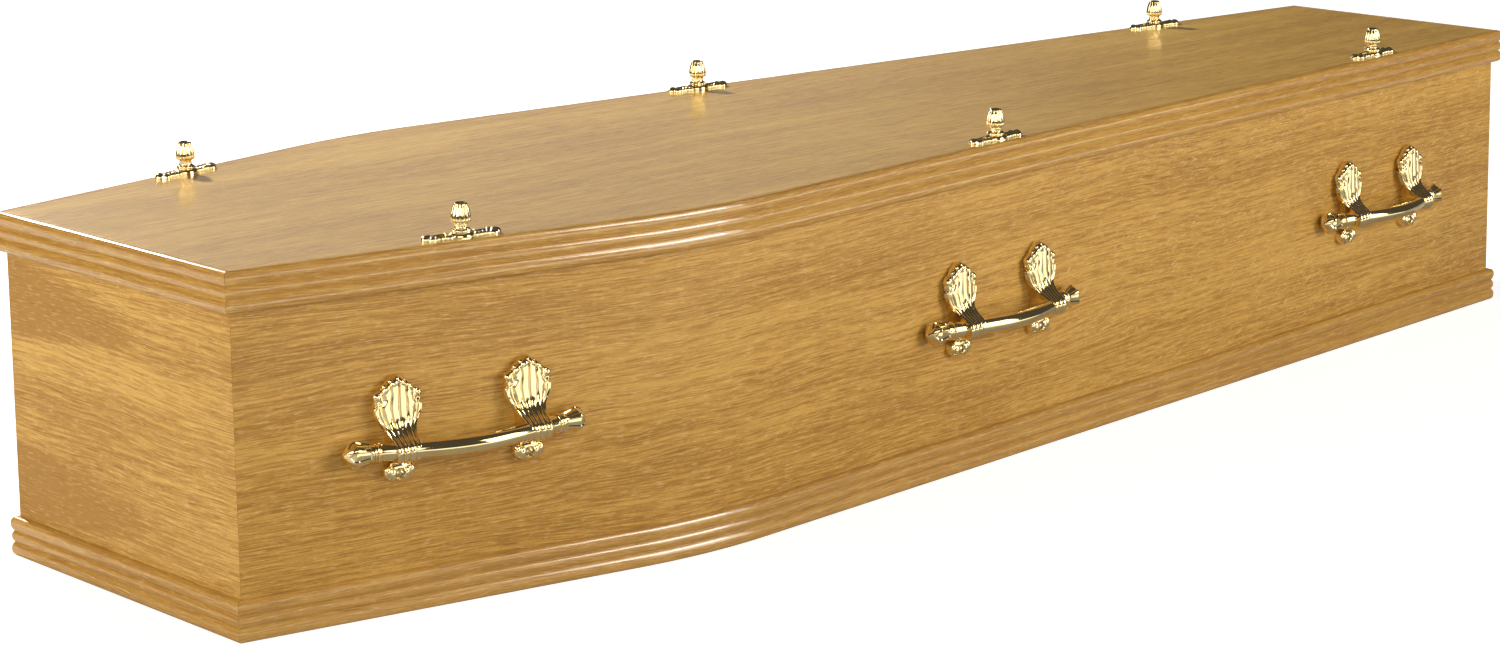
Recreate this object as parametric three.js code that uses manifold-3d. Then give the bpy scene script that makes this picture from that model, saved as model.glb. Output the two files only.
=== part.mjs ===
// A full-size oak-veneered coffin: a bent-sided box with a flat lid, reeded mouldings round the lid and the base,
// brass bar handles on shell lugs along both sides, and brass thumbscrews on ornamental plates that hold the lid.
// Millimetres, +Z up. The head end is at -X and the foot end at +X. The origin is on the ground below the middle.
import * as THREE from "three";
import { mergeVertices } from "three/addons/utils/BufferGeometryUtils.js";
import Module from "manifold-3d";

const wasm = await Module();
wasm.setup();

// Box, over the outer faces of its boards
const LENGTH = 1966;
const HEAD_WIDTH = 388;
const SHOULDER_WIDTH = 580; // where the two straight runs of each side face would cross
const FOOT_WIDTH = 322;
const SHOULDER_FROM_HEAD = 495;
const BEND_RADIUS = 585;
const BEND_STEPS = 8;
const HEIGHT = 353; // from the ground to the top of the lid
const BOARD = 15;
const LID_OVERHANG = 1.5;
const JOINT_GAP = 0.3;

// Reeded moulding, used round the lid and round the base
const MOULDING_HEIGHT = 40;
const MOULDING_DEPTH = 7.5;
const MIDDLE_REED_DEPTH = 7;
const VALLEY_DEPTH = 4.7;
const VALLEY_HEIGHT = 14.3; // from the nearer edge to the groove beside the middle reed
const END_REED_PEAK = 6.5; // from the nearer edge to the crown of the outer reed
const EDGE_ROUND = 4;
const EDGE_CUT = 0.29; // how far inside the corner an eased edge's middle lies, as a share of its radius
const FLANK_DROP = 0.3; // the share of an outer reed's rise that is lost halfway down its flank
const MIDDLE_FLANK_DROP = 0.6;
const MIDDLE_FLANK_SHARE = 0.45; // the flank point's place between the groove and the middle reed's crown

// Bar handle, in a frame on the side face: x along the face towards the foot, y outwards, z up from the bar's axis
const HANDLES_FROM_HEAD = [227, 951, 1697];
const PLACE_NAMES = ["head", "middle", "foot"];
const BAR_HEIGHT = 164;
const BAR_RADIUS = 8.5;
const BAR_REACH = 38; // from the side face to the bar's axis at mid-length
const BAR_BOW = 28; // how far the axis falls back towards the face over the bow's run
const BAR_BOW_RUN = 140;
const BAR_BOW_STATION = 28; // between the middle and the lug, to follow the bow
const BAR_HALF_SPAN = 126.5; // to the point of the finial
const COLLAR_FROM_TIP = 35;
const COLLAR_RADIUS = 10.8;
const COLLAR_HALF_LENGTH = 3;
const FINIAL_NECK_RADIUS = 9;
const FINIAL_RADIUS = 13.4; // to the corners of its six faces
const FINIAL_FLAT = 0.89; // the flats' middle as a share of the corners' radius
const FINIAL_WIDEST_FROM_TIP = 13;
const FINIAL_SWELL_FROM_TIP = 22;
const FINIAL_SWELL_RADIUS = 10.9;
const FINIAL_TIP_RADIUS = 1.2;
const BAR_SIDES = 12;

// Shell lug that carries the bar, with heights from the bar's axis and depths from the side face
const LUG_SPACING = 138;
const RING_HALF_WIDTH = 13;
const RING_WALL = 3.2;
const RING_SHOULDER = 11; // height above and below the axis where the ring turns towards the face
const RING_SHOULDER_DEPTH = 30;
const FOOT_BOTTOM = -34;
const FOOT_CENTRE = -26; // the screw's height
const FOOT_TOP = -19;
const FOOT_HALF_WIDTH = 15.8;
const FOOT_TOP_HALF_WIDTH = 12;
const FOOT_BOTTOM_HALF_WIDTH = 6.4;
const FOOT_DEPTH = 11;
const FOOT_EDGE_DEPTH = 8.5;
const SHELL_LEVELS = [
  { z: 17.5, half: 15.4, front: 18.5 }, // wrist
  { z: 26, half: 21.2, front: 13.9 },
  { z: 36, half: 27, front: 12.6 }, // wings
  { z: 44.5, half: 23.6, front: 12.3 }, // notches
  { z: 52, half: 25, front: 12 }, // ears
  { z: 61, half: 17.5, front: 11.6 },
  { z: 66, half: 10.8, front: 10.8 },
];
const SHELL_TOP = { z: 69, half: 4.3, front: 9 };
const FLUTE_DEPTH = 1.2;
const SHELL_RIM = 0.55; // the shell's depth at its rim as a share of its depth at the middle
const FRONT_POINTS = 7;
const BORE_CLEARANCE = 0.6;
const BORE_LENGTH = 80;
const BORE_SIDES = 10;

// Lug screw
const SCREW_RADIUS = 4;
const SCREW_HEIGHT = 2.2;
const SCREW_TOP_RADIUS = 2.2;
const SCREW_EDGE_HEIGHT = 1;
const SCREW_SIDES = 6;

// Lid screw: an ornamental plate along the lid's edge and a fluted thumbscrew
const LID_SCREWS_FROM_HEAD = [237, 961, 1699];
const PLATE_HALF_LENGTH = 42.5;
const PLATE_HALF_WIDTH = 12.5;
const PLATE_WAIST = 6.5;
const PLATE_SCALLOP = 1.2;
const PLATE_SCALLOP_PITCH = 9;
const PLATE_HEIGHT = 6.5;
const PLATE_EDGE_HEIGHT = 3.5;
const PLATE_CROWN_INSET = 2.6;
const END_LOBE_RADIUS = 8;
const BOSS_RADIUS = 16.25; // of the round boss's outline along the plate
const PLATE_TIP_HALF_WIDTH = 1.5;
const CROWN_TIP_HALF_WIDTH = 0.6;
const PLATE_STATIONS = 13;
const PLATE_STATION_EASE = 0.85; // below 1, the stations crowd towards the plate's ends
const KNOB_HEIGHT = 34; // from the lid to the flat top
const NECK_RADIUS = 6.6;
const NECK_TOP = 15;
const KNOB_RADIUS = 10;
const KNOB_WIDEST = 17.3;
const KNOB_SHOULDER = 26.8;
const KNOB_SHOULDER_RADIUS = 8.6;
const KNOB_TOP_RADIUS = 5.6;
const KNOB_FLUTES = 8;
const KNOB_FLUTE_DEPTH = 1.1;

const oakVeneer = new THREE.MeshStandardMaterial({ color: 0xb98d4a, roughness: 0.4, metalness: 0 });
const oakMoulding = new THREE.MeshStandardMaterial({ color: 0xb98a45, roughness: 0.35, metalness: 0 });
const brass = new THREE.MeshStandardMaterial({ color: 0xe0c069, roughness: 0.12, metalness: 1 });
const steel = new THREE.MeshStandardMaterial({ color: 0x8d8670, roughness: 0.35, metalness: 1 });

// Plan of the left half

const HEAD_RUN_ANGLE = Math.atan2((SHOULDER_WIDTH - HEAD_WIDTH) / 2, SHOULDER_FROM_HEAD);
const FOOT_RUN_ANGLE = -Math.atan2((SHOULDER_WIDTH - FOOT_WIDTH) / 2, LENGTH - SHOULDER_FROM_HEAD);

// The unit vector that points outwards from a run at this angle.
function outward(angle) {
  return new THREE.Vector2(-Math.sin(angle), Math.cos(angle));
}

// The left side's line in plan, from the head corner round the shoulder to the foot corner, moved outwards by offset.
function sideLine(offset) {
  const headX = -LENGTH / 2 - offset;
  const footX = LENGTH / 2 + offset;
  const headY = HEAD_WIDTH / 2 + offset / Math.cos(HEAD_RUN_ANGLE) - offset * Math.tan(HEAD_RUN_ANGLE);
  const footY = FOOT_WIDTH / 2 + offset / Math.cos(FOOT_RUN_ANGLE) + offset * Math.tan(FOOT_RUN_ANGLE);
  const bend = HEAD_RUN_ANGLE - FOOT_RUN_ANGLE;
  const shoulder = new THREE.Vector2(SHOULDER_FROM_HEAD - LENGTH / 2, SHOULDER_WIDTH / 2);
  const toCentre = outward((HEAD_RUN_ANGLE + FOOT_RUN_ANGLE) / 2).multiplyScalar(BEND_RADIUS / Math.cos(bend / 2));
  const centre = shoulder.sub(toCentre);
  const line = [new THREE.Vector2(headX, headY)];
  for (let i = 0; i <= BEND_STEPS; i++) {
    const spoke = outward(HEAD_RUN_ANGLE - (bend * i) / BEND_STEPS).multiplyScalar(BEND_RADIUS + offset);
    line.push(centre.clone().add(spoke));
  }
  line.push(new THREE.Vector2(footX, footY));
  return line;
}

// The same points on the other side of the middle line.
function mirrored(points) {
  return points.map((p) => new THREE.Vector2(p.x, -p.y));
}

// A point of the left side's outer face at this distance from the head, with the angle of its run.
function sidePoint(fromHead) {
  const onHeadRun = fromHead < SHOULDER_FROM_HEAD;
  const angle = onHeadRun ? HEAD_RUN_ANGLE : FOOT_RUN_ANGLE;
  const y = SHOULDER_WIDTH / 2 + (fromHead - SHOULDER_FROM_HEAD) * Math.tan(angle);
  return { x: fromHead - LENGTH / 2, y, angle };
}

// Solids

// An upright prism between two heights.
function prism(outline, bottom, top) {
  const shape = new THREE.Shape(outline);
  const geometry = new THREE.ExtrudeGeometry(shape, { depth: top - bottom, bevelEnabled: false });
  return geometry.translate(0, 0, bottom);
}

// A closed surface through rings of equal length. The first and the last ring are closed by the cap's triangles.
function loft(rings, capTriangles) {
  const count = rings[0].length;
  const positions = rings.flat().flatMap((p) => [p.x, p.y, p.z]);
  const indices = [];
  for (let i = 0; i + 1 < rings.length; i++) {
    for (let j = 0; j < count; j++) {
      const a = i * count + j;
      const b = i * count + ((j + 1) % count);
      indices.push(a, b, b + count, a, b + count, a + count);
    }
  }
  const last = (rings.length - 1) * count;
  for (const [a, b, c] of capTriangles) {
    indices.push(a, c, b, last + a, last + b, last + c);
  }
  const geometry = new THREE.BufferGeometry();
  geometry.setAttribute("position", new THREE.Float32BufferAttribute(positions, 3));
  geometry.setIndex(indices);
  return facingOut(geometry);
}

// Triangles that fill an outline.
function filled(outline) {
  return THREE.ShapeUtils.triangulateShape(outline, []);
}

// Triangles that fill an outline of two facing edges, the second one running back.
function filledAcross(count) {
  const triangles = [];
  for (let i = 0; i + 1 < count / 2; i++) {
    triangles.push([i, i + 1, count - 2 - i], [i, count - 2 - i, count - 1 - i]);
  }
  return triangles;
}

// Six times the volume that an indexed surface encloses, negative where its faces point inwards.
function signedVolume(geometry) {
  const at = geometry.getAttribute("position");
  const [a, b, c] = [new THREE.Vector3(), new THREE.Vector3(), new THREE.Vector3()];
  let sum = 0;
  for (let i = 0; i < geometry.index.count; i += 3) {
    a.fromBufferAttribute(at, geometry.index.getX(i));
    b.fromBufferAttribute(at, geometry.index.getX(i + 1));
    c.fromBufferAttribute(at, geometry.index.getX(i + 2));
    sum += a.dot(b.cross(c));
  }
  return sum;
}

function facingOut(geometry) {
  if (signedVolume(geometry) < 0) {
    geometry.setIndex(Array.from(geometry.index.array).reverse());
  }
  geometry.computeVertexNormals();
  return geometry;
}

function toSolid(geometry) {
  const bare = new THREE.BufferGeometry();
  bare.setAttribute("position", geometry.getAttribute("position"));
  bare.setIndex(geometry.index);
  const merged = mergeVertices(bare, 1e-4);
  const vertProperties = new Float32Array(merged.getAttribute("position").array);
  const triVerts = new Uint32Array(merged.index.array);
  return new wasm.Manifold(new wasm.Mesh({ numProp: 3, vertProperties, triVerts }));
}

function toGeometry(solid) {
  const mesh = solid.getMesh();
  const geometry = new THREE.BufferGeometry();
  geometry.setAttribute("position", new THREE.BufferAttribute(mesh.vertProperties, 3));
  geometry.setIndex(new THREE.BufferAttribute(mesh.triVerts, 1));
  geometry.computeVertexNormals();
  return geometry;
}

function addMesh(group, name, geometry, material) {
  const mesh = new THREE.Mesh(geometry, material.clone());
  mesh.name = name;
  group.add(mesh);
  return mesh;
}

// Boards

function sideBoard() {
  return prism([...sideLine(0), ...sideLine(-BOARD).reverse()], 0, HEIGHT - BOARD);
}

// The board across one end, mitred to the sides. End is 0 at the head and the last index at the foot.
function endBoard(end) {
  const outer = sideLine(0).at(end);
  const inner = sideLine(-BOARD).at(end);
  outer.y -= JOINT_GAP;
  inner.y -= JOINT_GAP;
  return prism([outer, inner, ...mirrored([inner, outer])], 0, HEIGHT - BOARD);
}

function fullOutline(offset) {
  const left = sideLine(offset);
  return [...left, ...mirrored(left).reverse()];
}

// Mouldings

// The moulding's section: x out from its back, y up from its lower edge.
function mouldingSection() {
  const half = MOULDING_HEIGHT / 2;
  const rise = MOULDING_DEPTH - VALLEY_DEPTH;
  const lower = [
    new THREE.Vector2(MOULDING_DEPTH - EDGE_ROUND, 0),
    new THREE.Vector2(MOULDING_DEPTH - EDGE_ROUND * EDGE_CUT, EDGE_ROUND * EDGE_CUT),
    new THREE.Vector2(MOULDING_DEPTH, END_REED_PEAK),
    new THREE.Vector2(MOULDING_DEPTH - rise * FLANK_DROP, (END_REED_PEAK + VALLEY_HEIGHT) / 2),
    new THREE.Vector2(VALLEY_DEPTH, VALLEY_HEIGHT),
    new THREE.Vector2(MIDDLE_REED_DEPTH - MIDDLE_FLANK_DROP, VALLEY_HEIGHT + (half - VALLEY_HEIGHT) * MIDDLE_FLANK_SHARE),
  ];
  const upper = lower.map((p) => new THREE.Vector2(p.x, MOULDING_HEIGHT - p.y)).reverse();
  const crown = new THREE.Vector2(MIDDLE_REED_DEPTH, half);
  return [new THREE.Vector2(0, 0), ...lower, crown, ...upper, new THREE.Vector2(0, MOULDING_HEIGHT)];
}

// The moulding along the left side, with its back at this offset from the side face.
function sideMoulding(offset, bottom) {
  const section = mouldingSection();
  const lines = section.map((p) => sideLine(offset + p.x));
  const rings = lines[0].map((_, station) =>
    section.map((p, k) => new THREE.Vector3(lines[k][station].x, lines[k][station].y, bottom + p.y)),
  );
  return loft(rings, filled(section));
}

// The moulding across one end, mitred to the side mouldings.
function endMoulding(end, offset, bottom) {
  const section = mouldingSection();
  const corners = section.map((p) => sideLine(offset + p.x).at(end));
  const ring = (sign) =>
    section.map((p, k) => new THREE.Vector3(corners[k].x, sign * (corners[k].y - JOINT_GAP), bottom + p.y));
  return loft([ring(1), ring(-1)], filled(section));
}

// Handles

// The distance from the side face to the bar's axis, at this distance along the face from the handle's middle.
function barDepth(along) {
  return BAR_REACH - (BAR_BOW / 2) * (1 - Math.cos((Math.PI * along) / BAR_BOW_RUN));
}

// The angle by which the bar's axis turns towards the face there.
function barTurn(along) {
  return Math.atan(((BAR_BOW / 2) * Math.PI * Math.sin((Math.PI * along) / BAR_BOW_RUN)) / BAR_BOW_RUN);
}

// A ring of points round the bowed bar's axis.
// A six-sided ring has its corners at the radius and slightly full flats, and a round one has all its points there.
function barRing(along, radius, sixSided) {
  const turn = barTurn(along);
  const out = new THREE.Vector3(Math.sin(turn), Math.cos(turn), 0);
  const ring = [];
  for (let i = 0; i < BAR_SIDES; i++) {
    const angle = (2 * Math.PI * i) / BAR_SIDES;
    const onFlat = sixSided && i % 2 === 0;
    const reach = onFlat ? radius * FINIAL_FLAT : radius;
    const point = out.clone().multiplyScalar(reach * Math.cos(angle));
    point.add(new THREE.Vector3(along, barDepth(along), reach * Math.sin(angle)));
    ring.push(point);
  }
  return ring;
}

function circle(sides) {
  return Array.from({ length: sides }, (_, i) => {
    const angle = (2 * Math.PI * i) / sides;
    return new THREE.Vector2(Math.cos(angle), Math.sin(angle));
  });
}

// The bowed bar with a collar and a six-sided bud finial at each end.
function handleBar() {
  const collar = BAR_HALF_SPAN - COLLAR_FROM_TIP;
  const halfStations = [
    [BAR_HALF_SPAN, FINIAL_TIP_RADIUS, false],
    [BAR_HALF_SPAN - FINIAL_WIDEST_FROM_TIP, FINIAL_RADIUS, true],
    [BAR_HALF_SPAN - FINIAL_SWELL_FROM_TIP, FINIAL_SWELL_RADIUS, true],
    [collar + COLLAR_HALF_LENGTH, FINIAL_NECK_RADIUS, true],
    [collar, COLLAR_RADIUS, false],
    [collar - COLLAR_HALF_LENGTH, BAR_RADIUS, false],
    [LUG_SPACING / 2 + RING_HALF_WIDTH, BAR_RADIUS, false],
    [LUG_SPACING / 2 - RING_HALF_WIDTH, BAR_RADIUS, false],
    [BAR_BOW_STATION, BAR_RADIUS, false],
  ];
  const headward = halfStations.map(([along, ...shape]) => barRing(-along, ...shape));
  const footward = halfStations.map(([along, ...shape]) => barRing(along, ...shape)).reverse();
  const middle = barRing(0, BAR_RADIUS, false);
  return loft([...headward, middle, ...footward], filled(circle(BAR_SIDES)));
}

// The lug's half width and front depth at heights above and below the bar's axis, from the foot to the shell's top.
function lugStations() {
  const ringFront = barDepth(LUG_SPACING / 2) + BAR_RADIUS + RING_WALL;
  return [
    { z: FOOT_BOTTOM, half: FOOT_BOTTOM_HALF_WIDTH, front: FOOT_EDGE_DEPTH },
    { z: FOOT_CENTRE, half: FOOT_HALF_WIDTH, front: FOOT_DEPTH },
    { z: FOOT_TOP, half: FOOT_TOP_HALF_WIDTH, front: FOOT_DEPTH },
    { z: -RING_SHOULDER, half: RING_HALF_WIDTH, front: RING_SHOULDER_DEPTH },
    { z: 0, half: RING_HALF_WIDTH, front: ringFront },
    { z: RING_SHOULDER, half: RING_HALF_WIDTH, front: RING_SHOULDER_DEPTH },
    ...SHELL_LEVELS.map((level) => ({ ...level, fluted: true })),
    SHELL_TOP,
  ];
}

// One level of the lug: flat on the side face, crowned in front, and ribbed between grooves where it is fluted.
function lugLevel({ z, half, front, fluted = false }) {
  const ring = [new THREE.Vector3(half, JOINT_GAP, z)];
  for (let i = 0; i < FRONT_POINTS; i++) {
    const share = 1 - (2 * i) / (FRONT_POINTS - 1);
    const groove = fluted && i % 2 === 0 ? FLUTE_DEPTH : 0;
    const crown = front * (1 - (1 - SHELL_RIM) * (fluted ? share ** 4 : share ** 8));
    ring.push(new THREE.Vector3(half * share, crown - groove, z));
  }
  ring.push(new THREE.Vector3(-half, JOINT_GAP, z));
  return ring;
}

// A shell lug with a clear way through its ring for the bar. Side is -1 for the lug nearer the head.
function shellLug(side) {
  const levels = lugStations().map(lugLevel);
  const outline = levels[0].map((p) => new THREE.Vector2(p.x, p.y));
  const body = loft(levels, filled(outline)).translate((side * LUG_SPACING) / 2, 0, 0);
  const boreRadius = (BAR_RADIUS + BORE_CLEARANCE) / Math.cos(Math.PI / BORE_SIDES);
  const bore = new THREE.CylinderGeometry(boreRadius, boreRadius, BORE_LENGTH, BORE_SIDES);
  const along = (side * LUG_SPACING) / 2;
  bore.rotateZ(Math.PI / 2 - barTurn(along));
  bore.translate(along, barDepth(along), 0);
  return toGeometry(toSolid(body).subtract(toSolid(bore)));
}

// A round-headed screw on the lug's foot.
function lugScrew() {
  const profile = [
    new THREE.Vector2(0, 0),
    new THREE.Vector2(SCREW_RADIUS, 0),
    new THREE.Vector2(SCREW_RADIUS, SCREW_EDGE_HEIGHT),
    new THREE.Vector2(SCREW_TOP_RADIUS, SCREW_HEIGHT),
    new THREE.Vector2(0, SCREW_HEIGHT),
  ];
  return new THREE.LatheGeometry(profile, SCREW_SIDES).translate(0, FOOT_DEPTH + JOINT_GAP, FOOT_CENTRE);
}

function addHandle(half, hand, place, fromHead) {
  const at = sidePoint(fromHead);
  const handle = new THREE.Group();
  handle.position.set(at.x, at.y, BAR_HEIGHT);
  handle.rotation.z = at.angle;
  addMesh(handle, `handle_bar_${hand}_${place}`, handleBar(), brass);
  for (const [end, side] of [["headward", -1], ["footward", 1]]) {
    addMesh(handle, `shell_lug_${hand}_${place}_${end}`, shellLug(side), brass);
    const screw = addMesh(handle, `lug_screw_${hand}_${place}_${end}`, lugScrew(), steel);
    screw.position.x = (side * LUG_SPACING) / 2;
  }
  half.add(handle);
}

// Lid screws

// Half the plate's width at this distance along it: a round boss, a waist and a lobed end.
function plateHalfWidth(along) {
  const far = Math.abs(along);
  const boss = PLATE_HALF_WIDTH * Math.sqrt(Math.max(0, 1 - (far / BOSS_RADIUS) ** 2));
  const lobeCentre = PLATE_HALF_LENGTH - END_LOBE_RADIUS;
  const lobe = Math.sqrt(Math.max(0, END_LOBE_RADIUS ** 2 - (far - lobeCentre) ** 2));
  const scallop = PLATE_SCALLOP * Math.abs(Math.sin((Math.PI * far) / PLATE_SCALLOP_PITCH));
  const waist = far < lobeCentre ? PLATE_WAIST + scallop : 0;
  return Math.max(boss, lobe, waist, PLATE_TIP_HALF_WIDTH);
}

// The lid screw's plate: a flat foot on the lid, an upright edge and a bevelled crown.
function lidPlate() {
  const along = Array.from({ length: PLATE_STATIONS }, (_, i) => {
    const share = (2 * i) / (PLATE_STATIONS - 1) - 1;
    return PLATE_HALF_LENGTH * Math.sign(share) * Math.abs(share) ** PLATE_STATION_EASE;
  });
  const edge = along.map((x) => new THREE.Vector2(x, plateHalfWidth(x)));
  const outline = [...edge, ...mirrored(edge).reverse()];
  const ring = (z, inset) =>
    outline.map((p) => {
      const shrunk = 1 - inset / PLATE_HALF_LENGTH;
      const narrowed = Math.sign(p.y) * Math.max(CROWN_TIP_HALF_WIDTH, Math.abs(p.y) - inset);
      return new THREE.Vector3(p.x * shrunk, narrowed, z);
    });
  const rings = [ring(0, 0), ring(PLATE_EDGE_HEIGHT, 0), ring(PLATE_HEIGHT, PLATE_CROWN_INSET)];
  return loft(rings, filledAcross(outline.length));
}

// The fluted thumbscrew above the plate: a neck, a bud and a flat top.
function lidKnob() {
  const points = KNOB_FLUTES * 2;
  const ring = (z, radius, fluted) =>
    circle(points).map((p, i) => {
      const reach = fluted && i % 2 === 1 ? radius - KNOB_FLUTE_DEPTH : radius;
      return new THREE.Vector3(p.x * reach, p.y * reach, z);
    });
  const rings = [
    ring(PLATE_HEIGHT + JOINT_GAP, NECK_RADIUS, false),
    ring(NECK_TOP, NECK_RADIUS, false),
    ring(KNOB_WIDEST, KNOB_RADIUS, true),
    ring(KNOB_SHOULDER, KNOB_SHOULDER_RADIUS, true),
    ring(KNOB_HEIGHT, KNOB_TOP_RADIUS, true),
  ];
  return loft(rings, filled(circle(points)));
}

function addLidScrew(half, hand, place, fromHead) {
  const at = sidePoint(fromHead);
  const inward = outward(at.angle).multiplyScalar(-BOARD / 2);
  const fitting = new THREE.Group();
  fitting.position.set(at.x + inward.x, at.y + inward.y, HEIGHT + JOINT_GAP);
  fitting.rotation.z = at.angle;
  addMesh(fitting, `lid_plate_${hand}_${place}`, lidPlate(), brass);
  addMesh(fitting, `lid_knob_${hand}_${place}`, lidKnob(), brass);
  half.add(fitting);
}

// Assembly

const coffin = new THREE.Group();
const lidMouldingBottom = HEIGHT - MOULDING_HEIGHT;
const lidMouldingOffset = LID_OVERHANG + JOINT_GAP;
addMesh(coffin, "base_board", prism(fullOutline(-BOARD - JOINT_GAP), 0, BOARD), oakVeneer);
addMesh(coffin, "lid_board", prism(fullOutline(LID_OVERHANG), HEIGHT - BOARD, HEIGHT), oakVeneer);
for (const [end, index] of [["head", 0], ["foot", -1]]) {
  addMesh(coffin, `${end}_board`, endBoard(index), oakVeneer);
  addMesh(coffin, `base_moulding_${end}`, endMoulding(index, JOINT_GAP, 0), oakMoulding);
  addMesh(coffin, `lid_moulding_${end}`, endMoulding(index, lidMouldingOffset, lidMouldingBottom), oakMoulding);
}
for (const [hand, sign] of [["left", 1], ["right", -1]]) {
  const half = new THREE.Group();
  half.scale.y = sign;
  addMesh(half, `side_board_${hand}`, sideBoard(), oakVeneer);
  addMesh(half, `base_moulding_${hand}`, sideMoulding(JOINT_GAP, 0), oakMoulding);
  addMesh(half, `lid_moulding_${hand}`, sideMoulding(lidMouldingOffset, lidMouldingBottom), oakMoulding);
  PLACE_NAMES.forEach((place, i) => {
    addHandle(half, hand, place, HANDLES_FROM_HEAD[i]);
    addLidScrew(half, hand, place, LID_SCREWS_FROM_HEAD[i]);
  });
  coffin.add(half);
}

export default coffin;
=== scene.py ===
"""A full-size oak coffin with reeded mouldings, brass bar handles and lid screws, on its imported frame.

Metres, +Z up. The head end is at -X and the foot end at +X. Handles and lid screws are drawn in
millimetres, and other sizes in millimetres carry the name mm.
"""

import logging
import math
from collections.abc import Sequence
from dataclasses import dataclass, field
from enum import Enum

import bmesh
import bpy
import numpy as np
from bpy.types import Material, Node, NodeSocket, NodeTree, Object
from mathutils import Euler, Matrix, Vector

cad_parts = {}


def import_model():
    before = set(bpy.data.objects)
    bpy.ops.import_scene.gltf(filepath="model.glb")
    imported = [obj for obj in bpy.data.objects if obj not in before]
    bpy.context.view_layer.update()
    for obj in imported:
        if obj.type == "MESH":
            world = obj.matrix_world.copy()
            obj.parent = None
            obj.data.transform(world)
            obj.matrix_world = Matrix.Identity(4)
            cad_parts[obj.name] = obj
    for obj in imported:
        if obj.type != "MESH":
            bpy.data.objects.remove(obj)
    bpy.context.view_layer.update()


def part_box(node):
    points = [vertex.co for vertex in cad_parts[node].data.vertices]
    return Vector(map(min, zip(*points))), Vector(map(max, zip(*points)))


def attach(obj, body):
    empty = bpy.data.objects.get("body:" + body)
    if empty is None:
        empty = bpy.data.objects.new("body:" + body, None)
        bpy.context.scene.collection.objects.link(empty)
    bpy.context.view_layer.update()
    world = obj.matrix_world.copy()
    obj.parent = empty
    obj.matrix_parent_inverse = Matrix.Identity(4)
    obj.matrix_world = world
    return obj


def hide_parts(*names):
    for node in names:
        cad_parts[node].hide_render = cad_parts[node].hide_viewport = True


log = logging.getLogger("coffin")
MM = 0.001
BODY = "root"
GRAIN = "grain"
PHOTO_WIDTH = 1500
JOINT_GAP = 0.0003
LID_OVERHANG = 0.0015
WELD_DISTANCE = 1e-6
BOARD_SHARP = 30.0

Colour = tuple[float, float, float]
Span = tuple[float, float]
Values = dict[str | int, object]


class Hand(Enum):
    """The two long sides, by the sign of Y."""

    LEFT = 1
    RIGHT = -1

    @property
    def word(self) -> str:
        """The side's name in node names."""
        return self.name.lower()


class End(Enum):
    """The two ends, by their index on a side line."""

    HEAD = 0
    FOOT = -1

    @property
    def word(self) -> str:
        """The end's name in node names."""
        return self.name.lower()


class Slot(Enum):
    """The record's material slots."""

    VENEER = "oak_veneer"
    MOULDING = "oak_moulding"
    BRASS = "brass"
    SCREW = "screw"


# Mesh drafting


@dataclass
class MeshDraft:
    """Points, faces and grain coordinates gathered for one piece."""

    points: list[Sequence[float]] = field(default_factory=list)
    faces: list[tuple[int, ...]] = field(default_factory=list)
    corners: list[list[Sequence[float]]] = field(default_factory=list)

    def grid(self, points: np.ndarray, grain: np.ndarray | None = None, closed: bool = False) -> np.ndarray:
        """Adds a grid of quads.

        Args:
            points: Array of rows, columns and coordinates.
            grain: Grain coordinates with one more column than points where the grid is closed.
            closed: Whether the last column joins the first.

        Returns:
            The index of each grid point.
        """
        rows, columns = points.shape[:2]
        index = len(self.points) + np.arange(rows * columns).reshape(rows, columns)
        self.points.extend(points.reshape(-1, 3).tolist())
        for i in range(rows - 1):
            for j in range(columns if closed else columns - 1):
                k = (j + 1) % columns
                quad = (index[i, j], index[i + 1, j], index[i + 1, k], index[i, k])
                where = None
                if grain is not None:
                    where = (grain[i, j], grain[i + 1, j], grain[i + 1, j + 1], grain[i, j + 1])
                self.face(quad, where)
        return index

    def face(self, ring: Sequence[int], grain: Sequence[Sequence[float]] | None = None) -> None:
        """Adds one face over a ring of points.

        Args:
            ring: Point indices in order.
            grain: Grain coordinates of those points.
        """
        self.faces.append(tuple(int(i) for i in ring))
        if grain is not None:
            self.corners.append(list(grain))

    def tube(
        self,
        rings: np.ndarray,
        grain: np.ndarray | None = None,
        ends: Sequence[Sequence[Sequence[float]] | None] = (None, None),
    ) -> None:
        """Adds a skin over rings of points, with a face over each end.

        Args:
            rings: Array of rings, points and coordinates.
            grain: Grain coordinates with one more column than rings.
            ends: Grain coordinates of the first ring's face and of the last ring's.
        """
        index = self.grid(rings, grain, closed=True)
        for row, where in zip((0, -1), ends):
            self.face(index[row], where)

    def finish(self, name: str, sharp_degrees: float = 40.0) -> Object:
        """Makes the object, with outward faces and smooth shading up to an angle.

        Args:
            name: The object's name.
            sharp_degrees: Edges that turn more than this stay sharp.

        Returns:
            The linked object.
        """
        mesh = bpy.data.meshes.new(name)
        mesh.from_pydata(self.points, [], self.faces)
        if self.corners:
            layer = mesh.uv_layers.new(name=GRAIN)
            flat = [value for face in self.corners for corner in face for value in corner]
            layer.data.foreach_set("uv", np.array(flat, np.float32))
        shape = bmesh.new()
        shape.from_mesh(mesh)
        bmesh.ops.remove_doubles(shape, verts=shape.verts, dist=WELD_DISTANCE)
        bmesh.ops.recalc_face_normals(shape, faces=shape.faces)
        shape.to_mesh(mesh)
        shape.free()
        mesh.shade_smooth()
        mesh.set_sharp_from_angle(angle=math.radians(sharp_degrees))
        made = bpy.data.objects.new(name, mesh)
        bpy.context.scene.collection.objects.link(made)
        return made


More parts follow.
